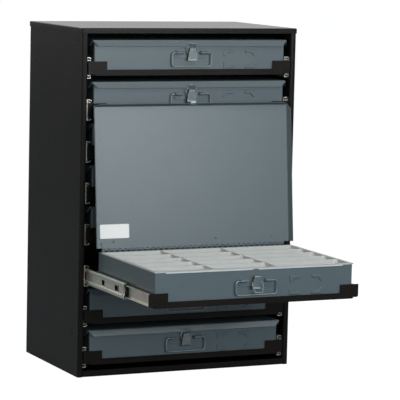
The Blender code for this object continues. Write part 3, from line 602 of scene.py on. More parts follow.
def plate(name, outline, thickness, turn, edge, steps=2):
    """Flat sheet cut to an outline, which is the middle of its thickness, and set in place."""
    flat = {"dimensions": "2D", "fill_mode": "BOTH", "extrude": thickness / 2}
    piece = drawn(name, [outline], True, flat)
    piece.data.transform(turn)
    outward(piece, MERGE, FLATTEN)
    soften(piece, edge, steps)
    return piece


def on_left(start, length):
    """The turn and place of a left rail whose profile is drawn from the wall inwards."""
    return Matrix.Translation((-POST_EDGE, start + length / 2, SLIDE_HALF)) @ ALONG


def channel(half, radii):
    """The bent line of a rail's profile, whose lower half mirrors its upper one."""
    return bent([(x, -z) for x, z in reversed(half)] + half, radii)


outer_line = channel(
    [(OUTER_SHEET / 2, OUTER_HALF), (OUTER_DEPTH, OUTER_HALF), (OUTER_DEPTH, OUTER_LIP)],
    (RACE_BEND, RAIL_BEND, RAIL_BEND, RACE_BEND),
)
on_wall = on_left(RAIL_START, RAIL_LENGTH)
outer_rail = folded("outer_rail", outer_line, RAIL_LENGTH, OUTER_SHEET, on_wall)
middle_line = channel(
    [
        (MIDDLE_RECESS, RECESS_HALF),
        (MIDDLE_BACK, RECESS_EDGE),
        (MIDDLE_BACK, MIDDLE_HALF),
        (MIDDLE_DEPTH, MIDDLE_HALF),
        (MIDDLE_DEPTH, MIDDLE_LIP),
    ],
    (RAIL_BEND, RAIL_BEND) + (RAIL_SHEET,) * 4 + (RAIL_BEND, RAIL_BEND),
)
between = on_left(MIDDLE_START, MIDDLE_LENGTH)
middle_rail = folded("middle_rail", middle_line, MIDDLE_LENGTH, RAIL_SHEET, between, 0)
slots = []
for place, length in zip(SLOT_PLACES, SLOT_LENGTHS):
    middle_y = MIDDLE_START + place
    slots.append(block(
        "slot",
        (-POST_EDGE, middle_y - length / 2, SLIDE_HALF - SLOT_TALL / 2),
        (-POST_EDGE + SLIDE_DEPTH / 2, middle_y + length / 2, SLIDE_HALF + SLOT_TALL / 2),
    ))
cut(middle_rail, slots)
# The stop is pressed out of the front end of the middle rail and meets the ball retainer.
half_stop = [
    (STOP_LENGTH, STOP_HALF), (0, STOP_HALF), (0, STOP_WAIST_END), (STOP_WAIST, STOP_WAIST_HALF)]
outline = half_stop + [(y, -z) for y, z in reversed(half_stop)]
stop_place = (-POST_EDGE + MIDDLE_BACK - RAIL_SHEET / 2, MIDDLE_START - STOP_LEAD, SLIDE_HALF)
stop_turn = Matrix.Translation(stop_place) @ ACROSS
end_stop = plate("end_stop", outline, RAIL_SHEET / 2, stop_turn, 0)
middle_rail = joined("middle_rail", [middle_rail, end_stop])
soften(middle_rail, EDGE, 1)
inner_profile = [(SLIDE_DEPTH - RAIL_SHEET / 2, INNER_HALF), (INNER_TIP, INNER_HALF)]
inner_line = channel(inner_profile, (RAIL_BEND, RAIL_BEND))
on_carrier = on_left(INNER_START, INNER_LENGTH)
inner_rail = folded("inner_rail", inner_line, INNER_LENGTH, RAIL_SHEET, on_carrier)

bay_place, bay_move, middle_move, middle_body = {}, {}, {}, {}
for bay in BAYS:
    low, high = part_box(f"carrier_{bay}")
    bay_place[bay] = Vector((0, low.y, low.z - CARRIER_FLOOR))
    bay_move[bay] = Matrix.Translation(bay_place[bay])
    middle_body[bay], middle_y = "rack", front
    if bay in FREE_BAYS:
        middle_body[bay] = f"middle_{bay}"
        middle_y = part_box(f"slide_middle_left_{bay}")[0].y - MIDDLE_START
    middle_move[bay] = Matrix.Translation((0, middle_y, bay_place[bay].z))

for bay in BAYS:
    for label, flip in HANDS:
        end = f"{label}_{bay}"
        ahead_by = RAIL_FORWARD if (label, bay) in FORWARD_ENDS else 0
        move = Matrix.Translation((0, front - ahead_by, bay_place[bay].z)) @ flip
        fitted(outer_rail, f"outer_rail_{end}", move, "rack", "zinc_plate", zinc)
        stands_for = [f"slide_middle_{end}"] if bay in FREE_BAYS else ()
        fitted(middle_rail, f"middle_rail_{end}", middle_move[bay] @ flip, middle_body[bay],
               "zinc_plate", zinc, stands_for)
        fitted(inner_rail, f"inner_rail_{end}", bay_move[bay] @ flip, f"drawer_{bay}",
               "zinc_plate", zinc)
discard(outer_rail, middle_rail, inner_rail)


# Ball retainers: a strip of black acetal on each side of the inner rail, which holds a row of
# steel balls above and below it and shows just ahead of the middle rail.
RETAINER_X = 0.0082
RETAINER_SHEET = 0.0010
RETAINER_LEAD = 0.004
RETAINER_LENGTH = 0.052
RETAINER_ARM = 0.0050
BALL_RADIUS = 0.0013
BALL_UP = 0.0142
BALL_PITCH = 0.0046
BALL_COUNT = 10
BALL_FIRST = 0.75
BALL_SIDES = 12
ACETAL_BLACK = "#141414"
ACETAL_ROUGH = (0.3, 0.45)
BALL_PALE = "#e2e2e0"
BALL_GREY = "#c9c9c6"
BALL_ROUGH = (0.1, 0.2)

# Black acetal, moulded: an even dark plastic with a low sheen that varies from spot to spot, with
# 900 spots to the metre, which is coarser than real.
ACETAL_SPOTS = 900


def even_plastic(name, colour, spots, rough):
    """A plastic of one colour, whose gloss varies over so many spots to the metre."""
    look, tree = blank(name)
    place = add(tree, "ShaderNodeTexCoord").outputs["Object"]
    grain = add(tree, "ShaderNodeTexNoise", {"Vector": place, "Scale": spots, "Detail": 2.0})
    gloss = add(tree, "ShaderNodeMapRange", {
        "Value": grain, "To Min": rough[0], "To Max": rough[1]})
    shader = add(tree, "ShaderNodeBsdfPrincipled", {"Base Color": rgb(colour), "Roughness": gloss})
    add(tree, "ShaderNodeOutputMaterial", {"Surface": shader})
    return look


acetal = even_plastic("black_acetal", ACETAL_BLACK, ACETAL_SPOTS, ACETAL_ROUGH)
# The balls are polished steel, brighter and smoother than the rails.
ball_steel = plated("ball_steel", BALL_PALE, BALL_GREY, (BALL_GREY, BALL_GREY), BALL_ROUGH)

strip_half = [(RETAINER_X, BALL_UP), (RETAINER_X - RETAINER_ARM, BALL_UP)]
strip_line = channel(strip_half, (RETAINER_SHEET, RETAINER_SHEET))
between = on_left(MIDDLE_START - RETAINER_LEAD, RETAINER_LENGTH)
strip = folded("retainer", strip_line, RETAINER_LENGTH, RETAINER_SHEET, between)
balls = []
ball_x = -POST_EDGE + RETAINER_X - RETAINER_ARM / 2
for up in (-1, 1):
    for count in range(BALL_COUNT):
        ball_y = MIDDLE_START - RETAINER_LEAD + BALL_PITCH * (count + BALL_FIRST)
        bpy.ops.mesh.primitive_uv_sphere_add(
            segments=BALL_SIDES, ring_count=8, radius=BALL_RADIUS,
            location=(ball_x, ball_y, SLIDE_HALF + up * BALL_UP),
        )
        bpy.ops.object.transform_apply()
        balls.append(bpy.context.object)
balls = joined("balls", balls)
bpy.ops.object.shade_smooth()
for bay in BAYS:
    for label, flip in HANDS:
        end, body, move = f"{label}_{bay}", middle_body[bay], middle_move[bay] @ flip
        fitted(strip, f"ball_retainer_{end}", move, body, "zinc_plate", acetal)
        fitted(balls, f"ball_rows_{end}", move, body, "zinc_plate", ball_steel)
discard(strip, balls)


# Carriers: a black pan under each box, bent up at the sides, with a front plate whose two end
# tabs cover the slides and stop the box from sliding forward.
CARRIER_SHEET = 0.0012
CARRIER_HALF = 0.2273
CARRIER_REAR = 0.302
CARRIER_SIDE = 0.0365
PLATE_HALF = 0.2385
PLATE_FOLD = 0.222
PLATE_LOW = 0.0069
PLATE_STEP = 0.003
PLATE_ROUND = 0.004
TAB_ROUND = 0.002
BAR_TOP = 0.0194
TAB_TOP = 0.037
TAB_INNER = 0.1955
CARRIER_DARK = "#151310"
CARRIER_GREY = "#201d1a"
CARRIER_SHEEN = 0.1
CARRIER_EDGE = 0.0003

# The carriers have the cabinet's powder coat, a little warmer.
carrier_black = powder_coat("carrier_paint", CARRIER_DARK, CARRIER_GREY, CARRIER_SHEEN)
UPRIGHT = Matrix(((1, 0, 0, 0), (0, 0, -1, 0), (0, 1, 0, 0), (0, 0, 0, 1)))

pan_x = CARRIER_HALF - CARRIER_SHEET / 2
pan_line = bent(
    [(-pan_x, CARRIER_SIDE), (-pan_x, PLATE_LOW), (pan_x, PLATE_LOW), (pan_x, CARRIER_SIDE)],
    (CARRIER_SHEET, CARRIER_SHEET),
)
pan_length = CARRIER_REAR - CARRIER_SHEET
pan_turn = Matrix.Translation((0, CARRIER_SHEET + pan_length / 2, 0)) @ ALONG
pan = folded("pan", pan_line, pan_length, CARRIER_SHEET, pan_turn)
step_low = CARRIER_FLOOR + PLATE_STEP
fold = CARRIER_SHEET / 2
half_outline = bent(
    [
        (0, CARRIER_FLOOR),
        (PLATE_FOLD, CARRIER_FLOOR),
        (PLATE_FOLD, step_low),
        (PLATE_HALF, step_low),
        (PLATE_HALF, TAB_TOP),
        (TAB_INNER, TAB_TOP),
        (TAB_INNER, BAR_TOP),
        (0, BAR_TOP),
    ],
    (CARRIER_SHEET, fold, PLATE_ROUND, fold, TAB_ROUND, fold),
)
outline = half_outline + [Vector((-point.x, point.y)) for point in reversed(half_outline[1:-1])]
in_front = Matrix.Translation((0, fold, 0)) @ UPRIGHT
front_plate = plate("front_plate", outline, CARRIER_SHEET, in_front, CARRIER_EDGE)
carrier = joined("carrier", [pan, front_plate])
for bay in BAYS:
    fitted(carrier, f"carrier_pan_{bay}", bay_move[bay], f"drawer_{bay}", "carrier_black",
           carrier_black, [f"carrier_{bay}"])
discard(carrier)


# Boxes: a drawn and folded steel tray in each carrier, sprayed and baked in a blue-grey enamel.
# Its edges are rounded where the sheet turns, and the rim is a plain cut edge.
BOX_SHEET = 0.001
BOX_HALF = 0.224
BOX_FRONT = 0.003
BOX_REAR = 0.3035
BOX_FLOOR = 0.0078
BOX_RIM = 0.0792
BOX_BEND = 0.0018
ENAMEL_LIGHT = "#58666b"
ENAMEL_DARK = "#526065"
ENAMEL_SHEEN = 0.45
ENAMEL_ROUGH = (0.24, 0.36)
ENAMEL_PEEL = 0.003
ENAMEL_RELIEF = (0.2, 0.0002)
ENAMEL_CLOUD = 0.05


def mottled(name, tones, cloud, grain, rough, relief, extra):
    """A finish that drifts between two tones in clouds, with a grain in its gloss and surface."""
    look, tree = blank(name)
    place = add(tree, "ShaderNodeTexCoord").outputs["Object"]
    drift = add(tree, "ShaderNodeTexNoise", {"Vector": place, **cloud})
    colour = add(
        tree, "ShaderNodeMix", {0: drift, 6: rgb(tones[0]), 7: rgb(tones[1])}, data_type="RGBA")
    fine = add(tree, "ShaderNodeTexNoise", {"Vector": place, "Scale": grain, "Detail": 2.0})
    gloss = add(tree, "ShaderNodeMapRange", {
        "Value": fine, "To Min": rough[0], "To Max": rough[1]})
    bump = add(tree, "ShaderNodeBump", {
        "Height": fine, "Strength": relief[0], "Distance": relief[1]})
    shader = add(tree, "ShaderNodeBsdfPrincipled", {
        "Base Color": colour.outputs[2], "Roughness": gloss, "Normal": bump, **extra})
    add(tree, "ShaderNodeOutputMaterial", {"Surface": shader})
    return look


# Baked enamel: a sprayed blue-grey paint with a satin sheen. It flows out into the faint orange
# peel of sprayed paint, 3 mm from crest to crest, and its tone drifts a little over 50 mm.
enamel = mottled(
    "blue_grey_enamel", (ENAMEL_DARK, ENAMEL_LIGHT),
    {"Scale": 1 / ENAMEL_CLOUD, "Detail": 4.0, "Roughness": 0.6},
    1 / ENAMEL_PEEL, ENAMEL_ROUGH, ENAMEL_RELIEF, {"Specular IOR Level": ENAMEL_SHEEN},
)

shell = block("shell", (-BOX_HALF, BOX_FRONT, BOX_FLOOR), (BOX_HALF, BOX_REAR, BOX_RIM))
bpy.ops.object.mode_set(mode="EDIT")
choose("FACE", lambda face: face.normal.z > 0.5)
bpy.ops.mesh.delete(type="FACE")
bpy.ops.object.mode_set(mode="OBJECT")
pressed(shell, BOX_BEND, BOX_SHEET)
soften(shell, EDGE, 1)


# Bail plate, clips and label holder: pressed sheet welded to the box's front before painting.
# The clips are half tubes that hold the bail's ends, and four pressed corners take a card.
PRESS_SHEET = 0.001
PLATE_MIDDLE = 0.0524
PLATE_ROUND_HALF = 0.0100
PLATE_STRAIGHT = 0.0295
PLATE_PROUD = 0.0014
CLIP_INNER = 0.021
CLIP_OUTER = 0.037
WIRE_BACK = 0.0025
BAIL_PIVOT = 0.0547
CLIP_RADIUS = 0.0029
CARD_LEFT = 0.0778
CARD_RIGHT = 0.155
CARD_LOW = 0.021
CARD_TOP = 0.0605
HOLDER_WIDTH = 0.026
HOLDER_HEIGHT = 0.0133
HOLDER_ARM = 0.0062
HOLDER_POST = 0.0050
HOLDER_SLANT = 0.0105
HOLDER_PROUD = 0.0022
HOLDER_EDGE = 0.0011
PRESS_EDGE = 0.0004
ROUND_STEPS = 16
CLIP_STEPS = 12


def arc(x, z, radius, start, end, steps):
    """Points on a round about (x, z) between two angles in degrees."""
    angles = [math.radians(start + (end - start) * step / steps) for step in range(steps + 1)]
    return [(x + radius * math.cos(angle), z + radius * math.sin(angle)) for angle in angles]


stadium = arc(PLATE_STRAIGHT, PLATE_MIDDLE, PLATE_ROUND_HALF, -90, 90, ROUND_STEPS)
stadium += arc(-PLATE_STRAIGHT, PLATE_MIDDLE, PLATE_ROUND_HALF, 90, 270, ROUND_STEPS)
proud = Matrix.Translation((0, BOX_FRONT - PLATE_PROUD / 2, 0)) @ UPRIGHT
fittings = [plate("bail_plate", stadium, PLATE_PROUD, proud, PRESS_EDGE)]
clip_line = [
    (BOX_FRONT, BAIL_PIVOT + CLIP_RADIUS),
    *arc(-WIRE_BACK, BAIL_PIVOT, CLIP_RADIUS, 90, 270, CLIP_STEPS),
    (BOX_FRONT, BAIL_PIVOT - CLIP_RADIUS),
]
for way in (-1, 1):
    middle_x = way * (CLIP_INNER + CLIP_OUTER) / 2
    turn = Matrix.Translation((middle_x, 0, 0)) @ ACROSS
    fittings.append(folded("clip", clip_line, CLIP_OUTER - CLIP_INNER, PRESS_SHEET, turn))
corner = [
    (0, 0),
    (HOLDER_WIDTH, 0),
    (HOLDER_WIDTH - PRESS_SHEET, HOLDER_ARM),
    (HOLDER_SLANT, HOLDER_ARM),
    (HOLDER_POST, HOLDER_HEIGHT),
    (0, HOLDER_HEIGHT),
]
turn = Matrix.Translation((0, BOX_FRONT + (BOX_SHEET - HOLDER_PROUD) / 2, 0)) @ UPRIGHT
for x, across in ((CARD_LEFT, 1), (CARD_RIGHT, -1)):
    for z, up in ((CARD_LOW, 1), (CARD_TOP, -1)):
        outline = [(x + across * px, z + up * pz) for px, pz in corner]
        fittings.append(plate("holder", outline, HOLDER_PROUD + BOX_SHEET, turn, HOLDER_EDGE, 1))
fittings = joined("fittings", fittings)
for bay in BAYS:
    painted = (bay_move[bay], f"drawer_{bay}", "grey_enamel", enamel)
    fitted(shell, f"box_shell_{bay}", *painted, [f"box_{bay}"])
    fitted(fittings, f"box_fittings_{bay}", *painted)
discard(shell, fittings)


# Lids: one enamelled sheet with three flanges that flare outwards and are mitred at the front
# corners. The sixth lid stands open behind its box and leans past upright.
LID_SHEET = 0.001
LID_HALF = 0.228
LID_TOP = 0.0825
LID_FLANGE = 0.0137
LID_SIDE_FLARE = 0.005
LID_FRONT_FLARE = 0.004
LID_MITRE = 0.0105
LID_FRONT = 0.0002
LID_EDGE = 0.004
PIN_BACK = 0.3061
PIN_HEIGHT = 0.0826
LID_BEND = 0.0024
OPEN_BAY = 6

lid_rear = PIN_BACK - LID_EDGE
bpy.ops.mesh.primitive_plane_add(size=1)
lid = bpy.context.object
lid.name = "lid"
lid.data.transform(
    Matrix.Translation((0, (LID_FRONT + lid_rear) / 2, LID_TOP))
    @ Matrix.Diagonal((2 * LID_HALF, lid_rear - LID_FRONT, 1, 1))
)
bpy.ops.object.mode_set(mode="EDIT")
FLARES = (((0, -1), LID_FRONT_FLARE), ((-1, 0), LID_SIDE_FLARE), ((1, 0), LID_SIDE_FLARE))
for way, flare in FLARES:
    bound = LID_FRONT if way[1] else way[0] * LID_HALF
    index = 1 if way[1] else 0
    choose("EDGE", lambda edge: edge.is_boundary and all(
        abs(v.co[index] - bound) < EDGE and abs(v.co.z - LID_TOP) < EDGE for v in edge.verts))
    bpy.ops.mesh.extrude_region_move(
        TRANSFORM_OT_translate={"value": (way[0] * flare, way[1] * flare, -LID_FLANGE)})
    mesh = bpy.context.edit_object.data
    bm = bmesh.from_edit_mesh(mesh)
    for vert in [v for v in bm.verts if v.select]:
        if index:
            vert.co.x -= math.copysign(LID_MITRE, vert.co.x)
        elif vert.co.y < LID_FRONT + LID_MITRE:
            vert.co.y += LID_MITRE
    bmesh.update_edit_mesh(mesh)
bpy.ops.object.mode_set(mode="OBJECT")
pressed(lid, LID_BEND, LID_SHEET)
outward(lid)
soften(lid, EDGE, 1)

hinge_joint = next(joint for joint in frame["joints"] if joint["name"] == "lid_6_hinge")
lean = math.radians(hinge_joint["range_deg"][1])
pin_local = Vector((0, PIN_BACK, PIN_HEIGHT))
lid_place = {}
for bay in BAYS:
    pin = bay_place[bay] + pin_local
    turn = Matrix.Rotation(-lean, 4, "X") if bay == OPEN_BAY else Matrix()
    lid_place[bay] = Matrix.Translation(pin) @ turn @ Matrix.Translation(-pin_local)
lid_body = {bay: "lid_6" if bay == OPEN_BAY else f"drawer_{bay}" for bay in BAYS}
for bay in BAYS:
    fitted(lid, f"lid_sheet_{bay}", lid_place[bay], lid_body[bay], "grey_enamel", enamel,
           [f"lid_{bay}"])
discard(lid)


# Piano hinge: a leaf on the box's back and one inside the lid, both painted over, rolled into
# knuckles that take turns along a steel pin. The lid's leaf is held by spot welds.
LEAF = 0.001
LEAF_WIDTH = 0.012
HINGE_HALF = 0.2159
KNUCKLE = 0.00635
KNUCKLE_RADIUS = 0.0023
KNUCKLE_GAP = 0.0004
KNUCKLE_SIDES = 12
LEAF_NOTCH = 0.0004
WELD_PLACES = (-0.218, -0.189, 0.051, 0.187)
WELD_UP = (0.0095, 0.0135, 0.0135, 0.0135)
WELD_RADIUS = 0.0024
WELD_FLAT = 0.5

count = round(2 * HINGE_HALF / KNUCKLE)
pitch = 2 * HINGE_HALF / count
leaf_rear = BOX_REAR + LEAF
lid_under = LID_TOP - LID_SHEET
low = (-HINGE_HALF, BOX_REAR, BOX_RIM - LEAF_WIDTH)
box_side = [block("leaf", low, (HINGE_HALF, leaf_rear, BOX_RIM))]
low = (-HINGE_HALF, lid_rear - LEAF_WIDTH, lid_under - LEAF)
high = (HINGE_HALF, PIN_BACK - KNUCKLE_RADIUS - LEAF_NOTCH, lid_under)
lid_side = [block("leaf", low, high)]
for index in range(count):
    start = -HINGE_HALF + index * pitch + KNUCKLE_GAP / 2
    end = start + pitch - KNUCKLE_GAP
    ends = ((start, PIN_BACK, PIN_HEIGHT), (end, PIN_BACK, PIN_HEIGHT))
    roll = bar("knuckle", KNUCKLE_RADIUS, KNUCKLE_SIDES, *ends)
    if index % 2:
        low = (start, lid_rear - LEAF_NOTCH, lid_under - LEAF)
        lid_side += [roll, block("strap", low, (end, PIN_BACK, lid_under))]
    else:
        low = (start, BOX_REAR, BOX_RIM - LEAF)
        box_side += [roll, block("strap", low, (end, leaf_rear, PIN_HEIGHT))]
box_side = joined("hinge_box_leaf", box_side)
soften(box_side, EDGE, 1)
flattened = Matrix.Diagonal((1, 1, WELD_FLAT, 1))
for place, up in zip(WELD_PLACES, WELD_UP):
    bpy.ops.mesh.primitive_uv_sphere_add(segments=16, ring_count=8, radius=WELD_RADIUS)
    weld = bpy.context.object
    weld_z = lid_under - (LEAF if abs(place) < HINGE_HALF else 0)
    weld.data.transform(Matrix.Translation((place, lid_rear - up, weld_z)) @ flattened)
    lid_side.append(weld)
lid_side = joined("hinge_lid_leaf", lid_side)
soften(lid_side, EDGE, 1)
painted = ("grey_enamel", enamel)
for bay in BAYS:
    fitted(box_side, f"hinge_box_leaf_{bay}", bay_move[bay], f"drawer_{bay}", *painted)
    fitted(lid_side, f"hinge_lid_leaf_{bay}", lid_place[bay], lid_body[bay], *painted)
discard(box_side, lid_side)


# Blank label: a plain white vinyl label with rounded corners, stuck inside the open lid, low
# on the left.
LABEL_LEFT = -0.2195
LABEL_RIGHT = -0.1525
LABEL_LOW = 0.0245
LABEL_HIGH = 0.0545
LABEL_SHEET = 0.00015
LABEL_ROUND = 0.0025
CORNER_STEPS = 6
VINYL_WHITE = "#f7f7f5"
VINYL_ROUGH = (0.35, 0.5)
VINYL_SPOTS = 400

# White vinyl: a calendered film, clean white and half matt, its gloss uneven over 2.5 mm, which
# is 400 spots to the metre.
vinyl = even_plastic("white_vinyl", VINYL_WHITE, VINYL_SPOTS, VINYL_ROUGH)


def rounded(low, high, radius, inset=0):
    """Points of a rounded rectangle, the same number for each size."""
    points = []
    left, right_end = low[0] + inset + radius, high[0] - inset - radius
    near, far = low[1] + inset + radius, high[1] - inset - radius
    corners = ((right_end, far, 0), (left, far, 90), (left, near, 180), (right_end, near, 270))
    for x, y, start in corners:
        points += arc(x, y, radius, start, start + 90, CORNER_STEPS)
    return points


low, high = (LABEL_LEFT, PIN_BACK - LABEL_HIGH), (LABEL_RIGHT, PIN_BACK - LABEL_LOW)
outline = rounded(low, high, LABEL_ROUND)
under_lid = Matrix.Translation((0, 0, lid_under - LABEL_SHEET / 2))
label = plate("blank_label", outline, LABEL_SHEET, under_lid, 0)
label.data.transform(lid_place[OPEN_BAY])
finish(label, "lid_6", "pale_plastic", vinyl)


# Insert: a vacuum-formed tray of pale polystyrene that drops into the open box. Its lip rests
# on the rim, and the corners of its fifteen pockets get rounder with depth.
INSERT_SHORT = 0.018
INSERT_PROUD = 0.0015
INSERT_TOP = 0.0810
INSERT_LIP = 0.007
INSERT_WALL = 0.0010
SKIRT_DEEP = 0.0045
SKIRT_SHORT = 0.0024
SKIRT_CORNER = 0.025
NOTCH_HALF = 0.00625
DIVIDER = 0.0025
DIVIDERS = (-0.091, 0.050)
ROWS = 5
# Depth below the lip, and the radius of a pocket's corners there.
POCKET_RINGS = (
    (0, 0.0008),
    (0.0025, 0.005),
    (0.005, 0.009),
    (0.008, 0.0125),
    (0.014, 0.016),
    (0.03, 0.018),
    (0.058, 0.019),
)
POCKET_FLOOR_ROUND = 0.009
POCKET_FLOOR_TURNS = (30, 60, 90)
INSERT_MERGE = 0.00002
INSERT_EDGE = 0.0004
PLASTIC_PALE = "#d1d2cd"
PLASTIC_SHADE = "#c5c8c7"
PLASTIC_ROUGH = (0.4, 0.55)
PLASTIC_IOR = 1.55
PLASTIC_CLOUD = 0.025
PLASTIC_SPOTS = 700
PLASTIC_RELIEF = (0.15, 0.0001)

# Polystyrene sheet, vacuum formed: pale, opaque and half matt. The forming leaves its tone
# uneven over 25 mm, and a fine grain, drawn coarser than real at 700 spots to the metre.
plastic = mottled(
    "pale_polystyrene", (PLASTIC_SHADE, PLASTIC_PALE),
    {"Scale": 1 / PLASTIC_CLOUD, "Detail": 3.0},
    PLASTIC_SPOTS, PLASTIC_ROUGH, PLASTIC_RELIEF, {"IOR": PLASTIC_IOR},
)

lip_half = BOX_HALF + INSERT_PROUD
lip_front = BOX_FRONT - INSERT_PROUD
lip_rear = BOX_REAR - INSERT_SHORT
inner_half = lip_half - INSERT_LIP
inner_front = lip_front + INSERT_LIP
inner_rear = lip_rear - INSERT_LIP


def tub(name, rings, heights):
    """Rings of equal count, bridged from the mouth to the floor, and closed at the floor."""
    bpy.ops.mesh.primitive_circle_add(vertices=len(rings[0]), radius=1)
    piece = bpy.context.object
    piece.name = name
    bpy.ops.object.mode_set(mode="EDIT")
    mesh = piece.data
    bm = bmesh.from_edit_mesh(mesh)
    for vert, (x, y) in zip(bm.verts, rings[0]):
        vert.co = (x, y, heights[0])
    bmesh.update_edit_mesh(mesh)
    for ring, height in zip(rings[1:], heights[1:]):
        bpy.ops.mesh.extrude_region_move(TRANSFORM_OT_translate={"value": (0, 0, 0)})
        bm = bmesh.from_edit_mesh(mesh)
        fresh = [v for v in bm.verts if v.select]
        fresh.sort(key=lambda v: v.index)
        for vert, (x, y) in zip(fresh, ring):
            vert.co = (x, y, height)
        bmesh.update_edit_mesh(mesh)
    bpy.ops.mesh.edge_face_add()
    bpy.ops.object.mode_set(mode="OBJECT")
    return piece


columns = [-inner_half, *DIVIDERS, inner_half]
row = (inner_rear - inner_front) / ROWS
mouths = []
parts = []
last_depth, last_radius = POCKET_RINGS[-1]
for index, (left, right_end) in enumerate(zip(columns, columns[1:])):
    left += DIVIDER / 2 if index else 0
    right_end -= DIVIDER / 2 if index < len(DIVIDERS) else 0
    for step in range(ROWS):
        low = (left, inner_front + step * row + (DIVIDER / 2 if step else 0))
        far = inner_front + (step + 1) * row - (DIVIDER / 2 if step < ROWS - 1 else 0)
        high = (right_end, far)
        rings = [rounded(low, high, radius) for depth, radius in POCKET_RINGS]
        heights = [INSERT_TOP - depth for depth, radius in POCKET_RINGS]
        for turn in POCKET_FLOOR_TURNS:
            inset = POCKET_FLOOR_ROUND * (1 - math.cos(math.radians(turn)))
            drop = POCKET_FLOOR_ROUND * math.sin(math.radians(turn))
            rings.append(rounded(low, high, last_radius - inset, inset))
            heights.append(INSERT_TOP - last_depth - drop)
        mouths.append(rings[0])
        parts.append(tub("pocket", rings, heights))
rim = [(-lip_half, lip_front), (lip_half, lip_front), (lip_half, lip_rear), (-lip_half, lip_rear)]
lip = drawn("lip", [rim] + mouths, True, {"dimensions": "2D", "fill_mode": "BOTH"})
lip.data.transform(Matrix.Translation((0, 0, INSERT_TOP)))
insert = joined("insert", [lip] + parts)
outward(insert, INSERT_MERGE)
lip_faces = [face for face in insert.data.polygons if abs(face.center.z - INSERT_TOP) < EDGE]
if sum(face.normal.z * face.area for face in lip_faces) < 0:
    insert.data.flip_normals()
walled(insert, INSERT_WALL, -1, even=False)
skirt_top = INSERT_TOP - INSERT_WALL / 2
skirt_short = INSERT_TOP - SKIRT_SHORT
skirt_deep = INSERT_TOP - SKIRT_DEEP
half_skirt = [
    (NOTCH_HALF, skirt_short),
    (NOTCH_HALF, skirt_deep),
    (lip_half - SKIRT_CORNER, skirt_deep),
    (lip_half - SKIRT_CORNER, skirt_short),
    (lip_half, skirt_short),
    (lip_half, skirt_top),
]
outline = half_skirt + [(-x, z) for x, z in reversed(half_skirt)]
turn = Matrix.Translation((0, lip_front + INSERT_WALL / 2, 0)) @ UPRIGHT
skirts = [plate("skirt", outline, INSERT_WALL, turn, 0)]
for way in (-1, 1):
    left, right_end = sorted((way * lip_half, way * (lip_half - INSERT_WALL)))
    low, high = (left, lip_front + INSERT_WALL, skirt_short), (right_end, lip_rear, skirt_top)
    skirts.append(block("skirt", low, high))
insert = joined("insert", [insert] + skirts)
soften(insert, INSERT_EDGE, 2)
insert.data.transform(bay_move[OPEN_BAY])
insert.name = "pocket_insert"
finish(insert, "drawer_6", "pale_plastic", plastic, ["insert_6"])


# Bails: a steel wire handle with its ends turned in, sprung into the two clips, so that it
# hangs flat on the box and swings up for carrying. The wire is dulled zinc plate.
BAIL_HALF = 0.046
BAIL_DROP = 0.0292
BAIL_ROUND = 0.006
BAIL_END = 0.019
WIRE_RADIUS = 0.0015
WIRE_PALE = "#7b8688"
WIRE_DARK = "#606b6e"
WIRE_WARM = "#827c74"
WIRE_ROUGH = (0.32, 0.46)
WIRE_STEPS = 8
WIRE_SMOOTH = math.radians(50)

bright_wire = plated(
    "bright_zinc_wire", WIRE_PALE, WIRE_DARK, (WIRE_WARM, WIRE_PALE), WIRE_ROUGH)


def wire(name, corners, radii, radius):
    """Round wire bent along a line in X and Z."""
    line = [(x, 0, z) for x, z in bent(corners, radii, WIRE_STEPS)]
    round_wire = {
        "dimensions": "3D", "bevel_depth": radius, "bevel_resolution": 4, "use_fill_caps": True}
    piece = drawn(name, [line], False, round_wire)
    outward(piece, MERGE)
    bpy.ops.object.shade_smooth_by_angle(angle=WIRE_SMOOTH)
    return piece


half_bail = [(BAIL_END, 0), (BAIL_HALF, 0), (BAIL_HALF, -BAIL_DROP)]
bail_line = [(-x, z) for x, z in half_bail] + half_bail[::-1]
bail = wire("bail", bail_line, (BAIL_ROUND,) * 4, WIRE_RADIUS)
for bay in BAYS:
    move = Matrix.Translation(bay_place[bay] + Vector((0, -WIRE_BACK, BAIL_PIVOT)))
    fitted(bail, f"bail_wire_{bay}", move, f"bail_{bay}", "bright_wire", bright_wire,
           [f"bail_{bay}"])
discard(bail)


# Draw latches: a small base with the lever's pin, a tapered lever pressed from sheet with a
# rolled top and a flared foot, a wire loop on the lever, and the catch on the lid's flange.
LEVER_PIVOT = 0.0605
LEVER_PIVOT_Y = -0.0018
LEVER_FACE_Y = -0.0073
LEVER_TOP = 0.0650
LEVER_BEND = 0.0412
LEVER_LOW = 0.0380
LEVER_TOP_HALF = 0.0068
LEVER_LOW_HALF = 0.01125
LEVER_SHEET = 0.0012
LEVER_DEPTH = 0.0075
LEVER_FOOT = 0.0018
LEVER_ROLL = 0.45
LEVER_ROLL_END = 1.2
LEVER_ROUNDS = (0.0003, 0.0016, 0.0012)
LEVER_EASE = 1.4
CHEEK_TOP = 1.5
CHEEK_LOW = 2.5
CHEEK_FOOT = 1.5
LATCH_EDGE = 0.0003
PIN_RADIUS = 0.0012
PIN_SIDES = 20
BASE_HALF = 0.0065
BASE_LOW = 0.037
BASE_TOP = 0.0625
BASE_PROUD = 0.0016
BOSS_HALF = 0.005
BOSS_RISE = 0.0024
LOOP_PIVOT = 0.0523
LOOP_PIVOT_Y = -0.0052
LOOP_LENGTH = 0.0227
LOOP_RADIUS = 0.001
LOOP_HALF = 0.0125
LOOP_WIDEST = 0.0062
LOOP_NECK_HALF = 0.0098
LOOP_TOP_HALF = 0.0081
LOOP_END = 0.0070
LOOP_ROUND = 0.0016
LOOP_HANG = math.radians(25.6)
CATCH_HALF = 0.006
CATCH_TOP = 0.0737
CATCH_SHEET = 0.0012
CATCH_LIP_Y = -0.0072
CATCH_LIP = 0.0008
CATCH_ROUND = 0.6


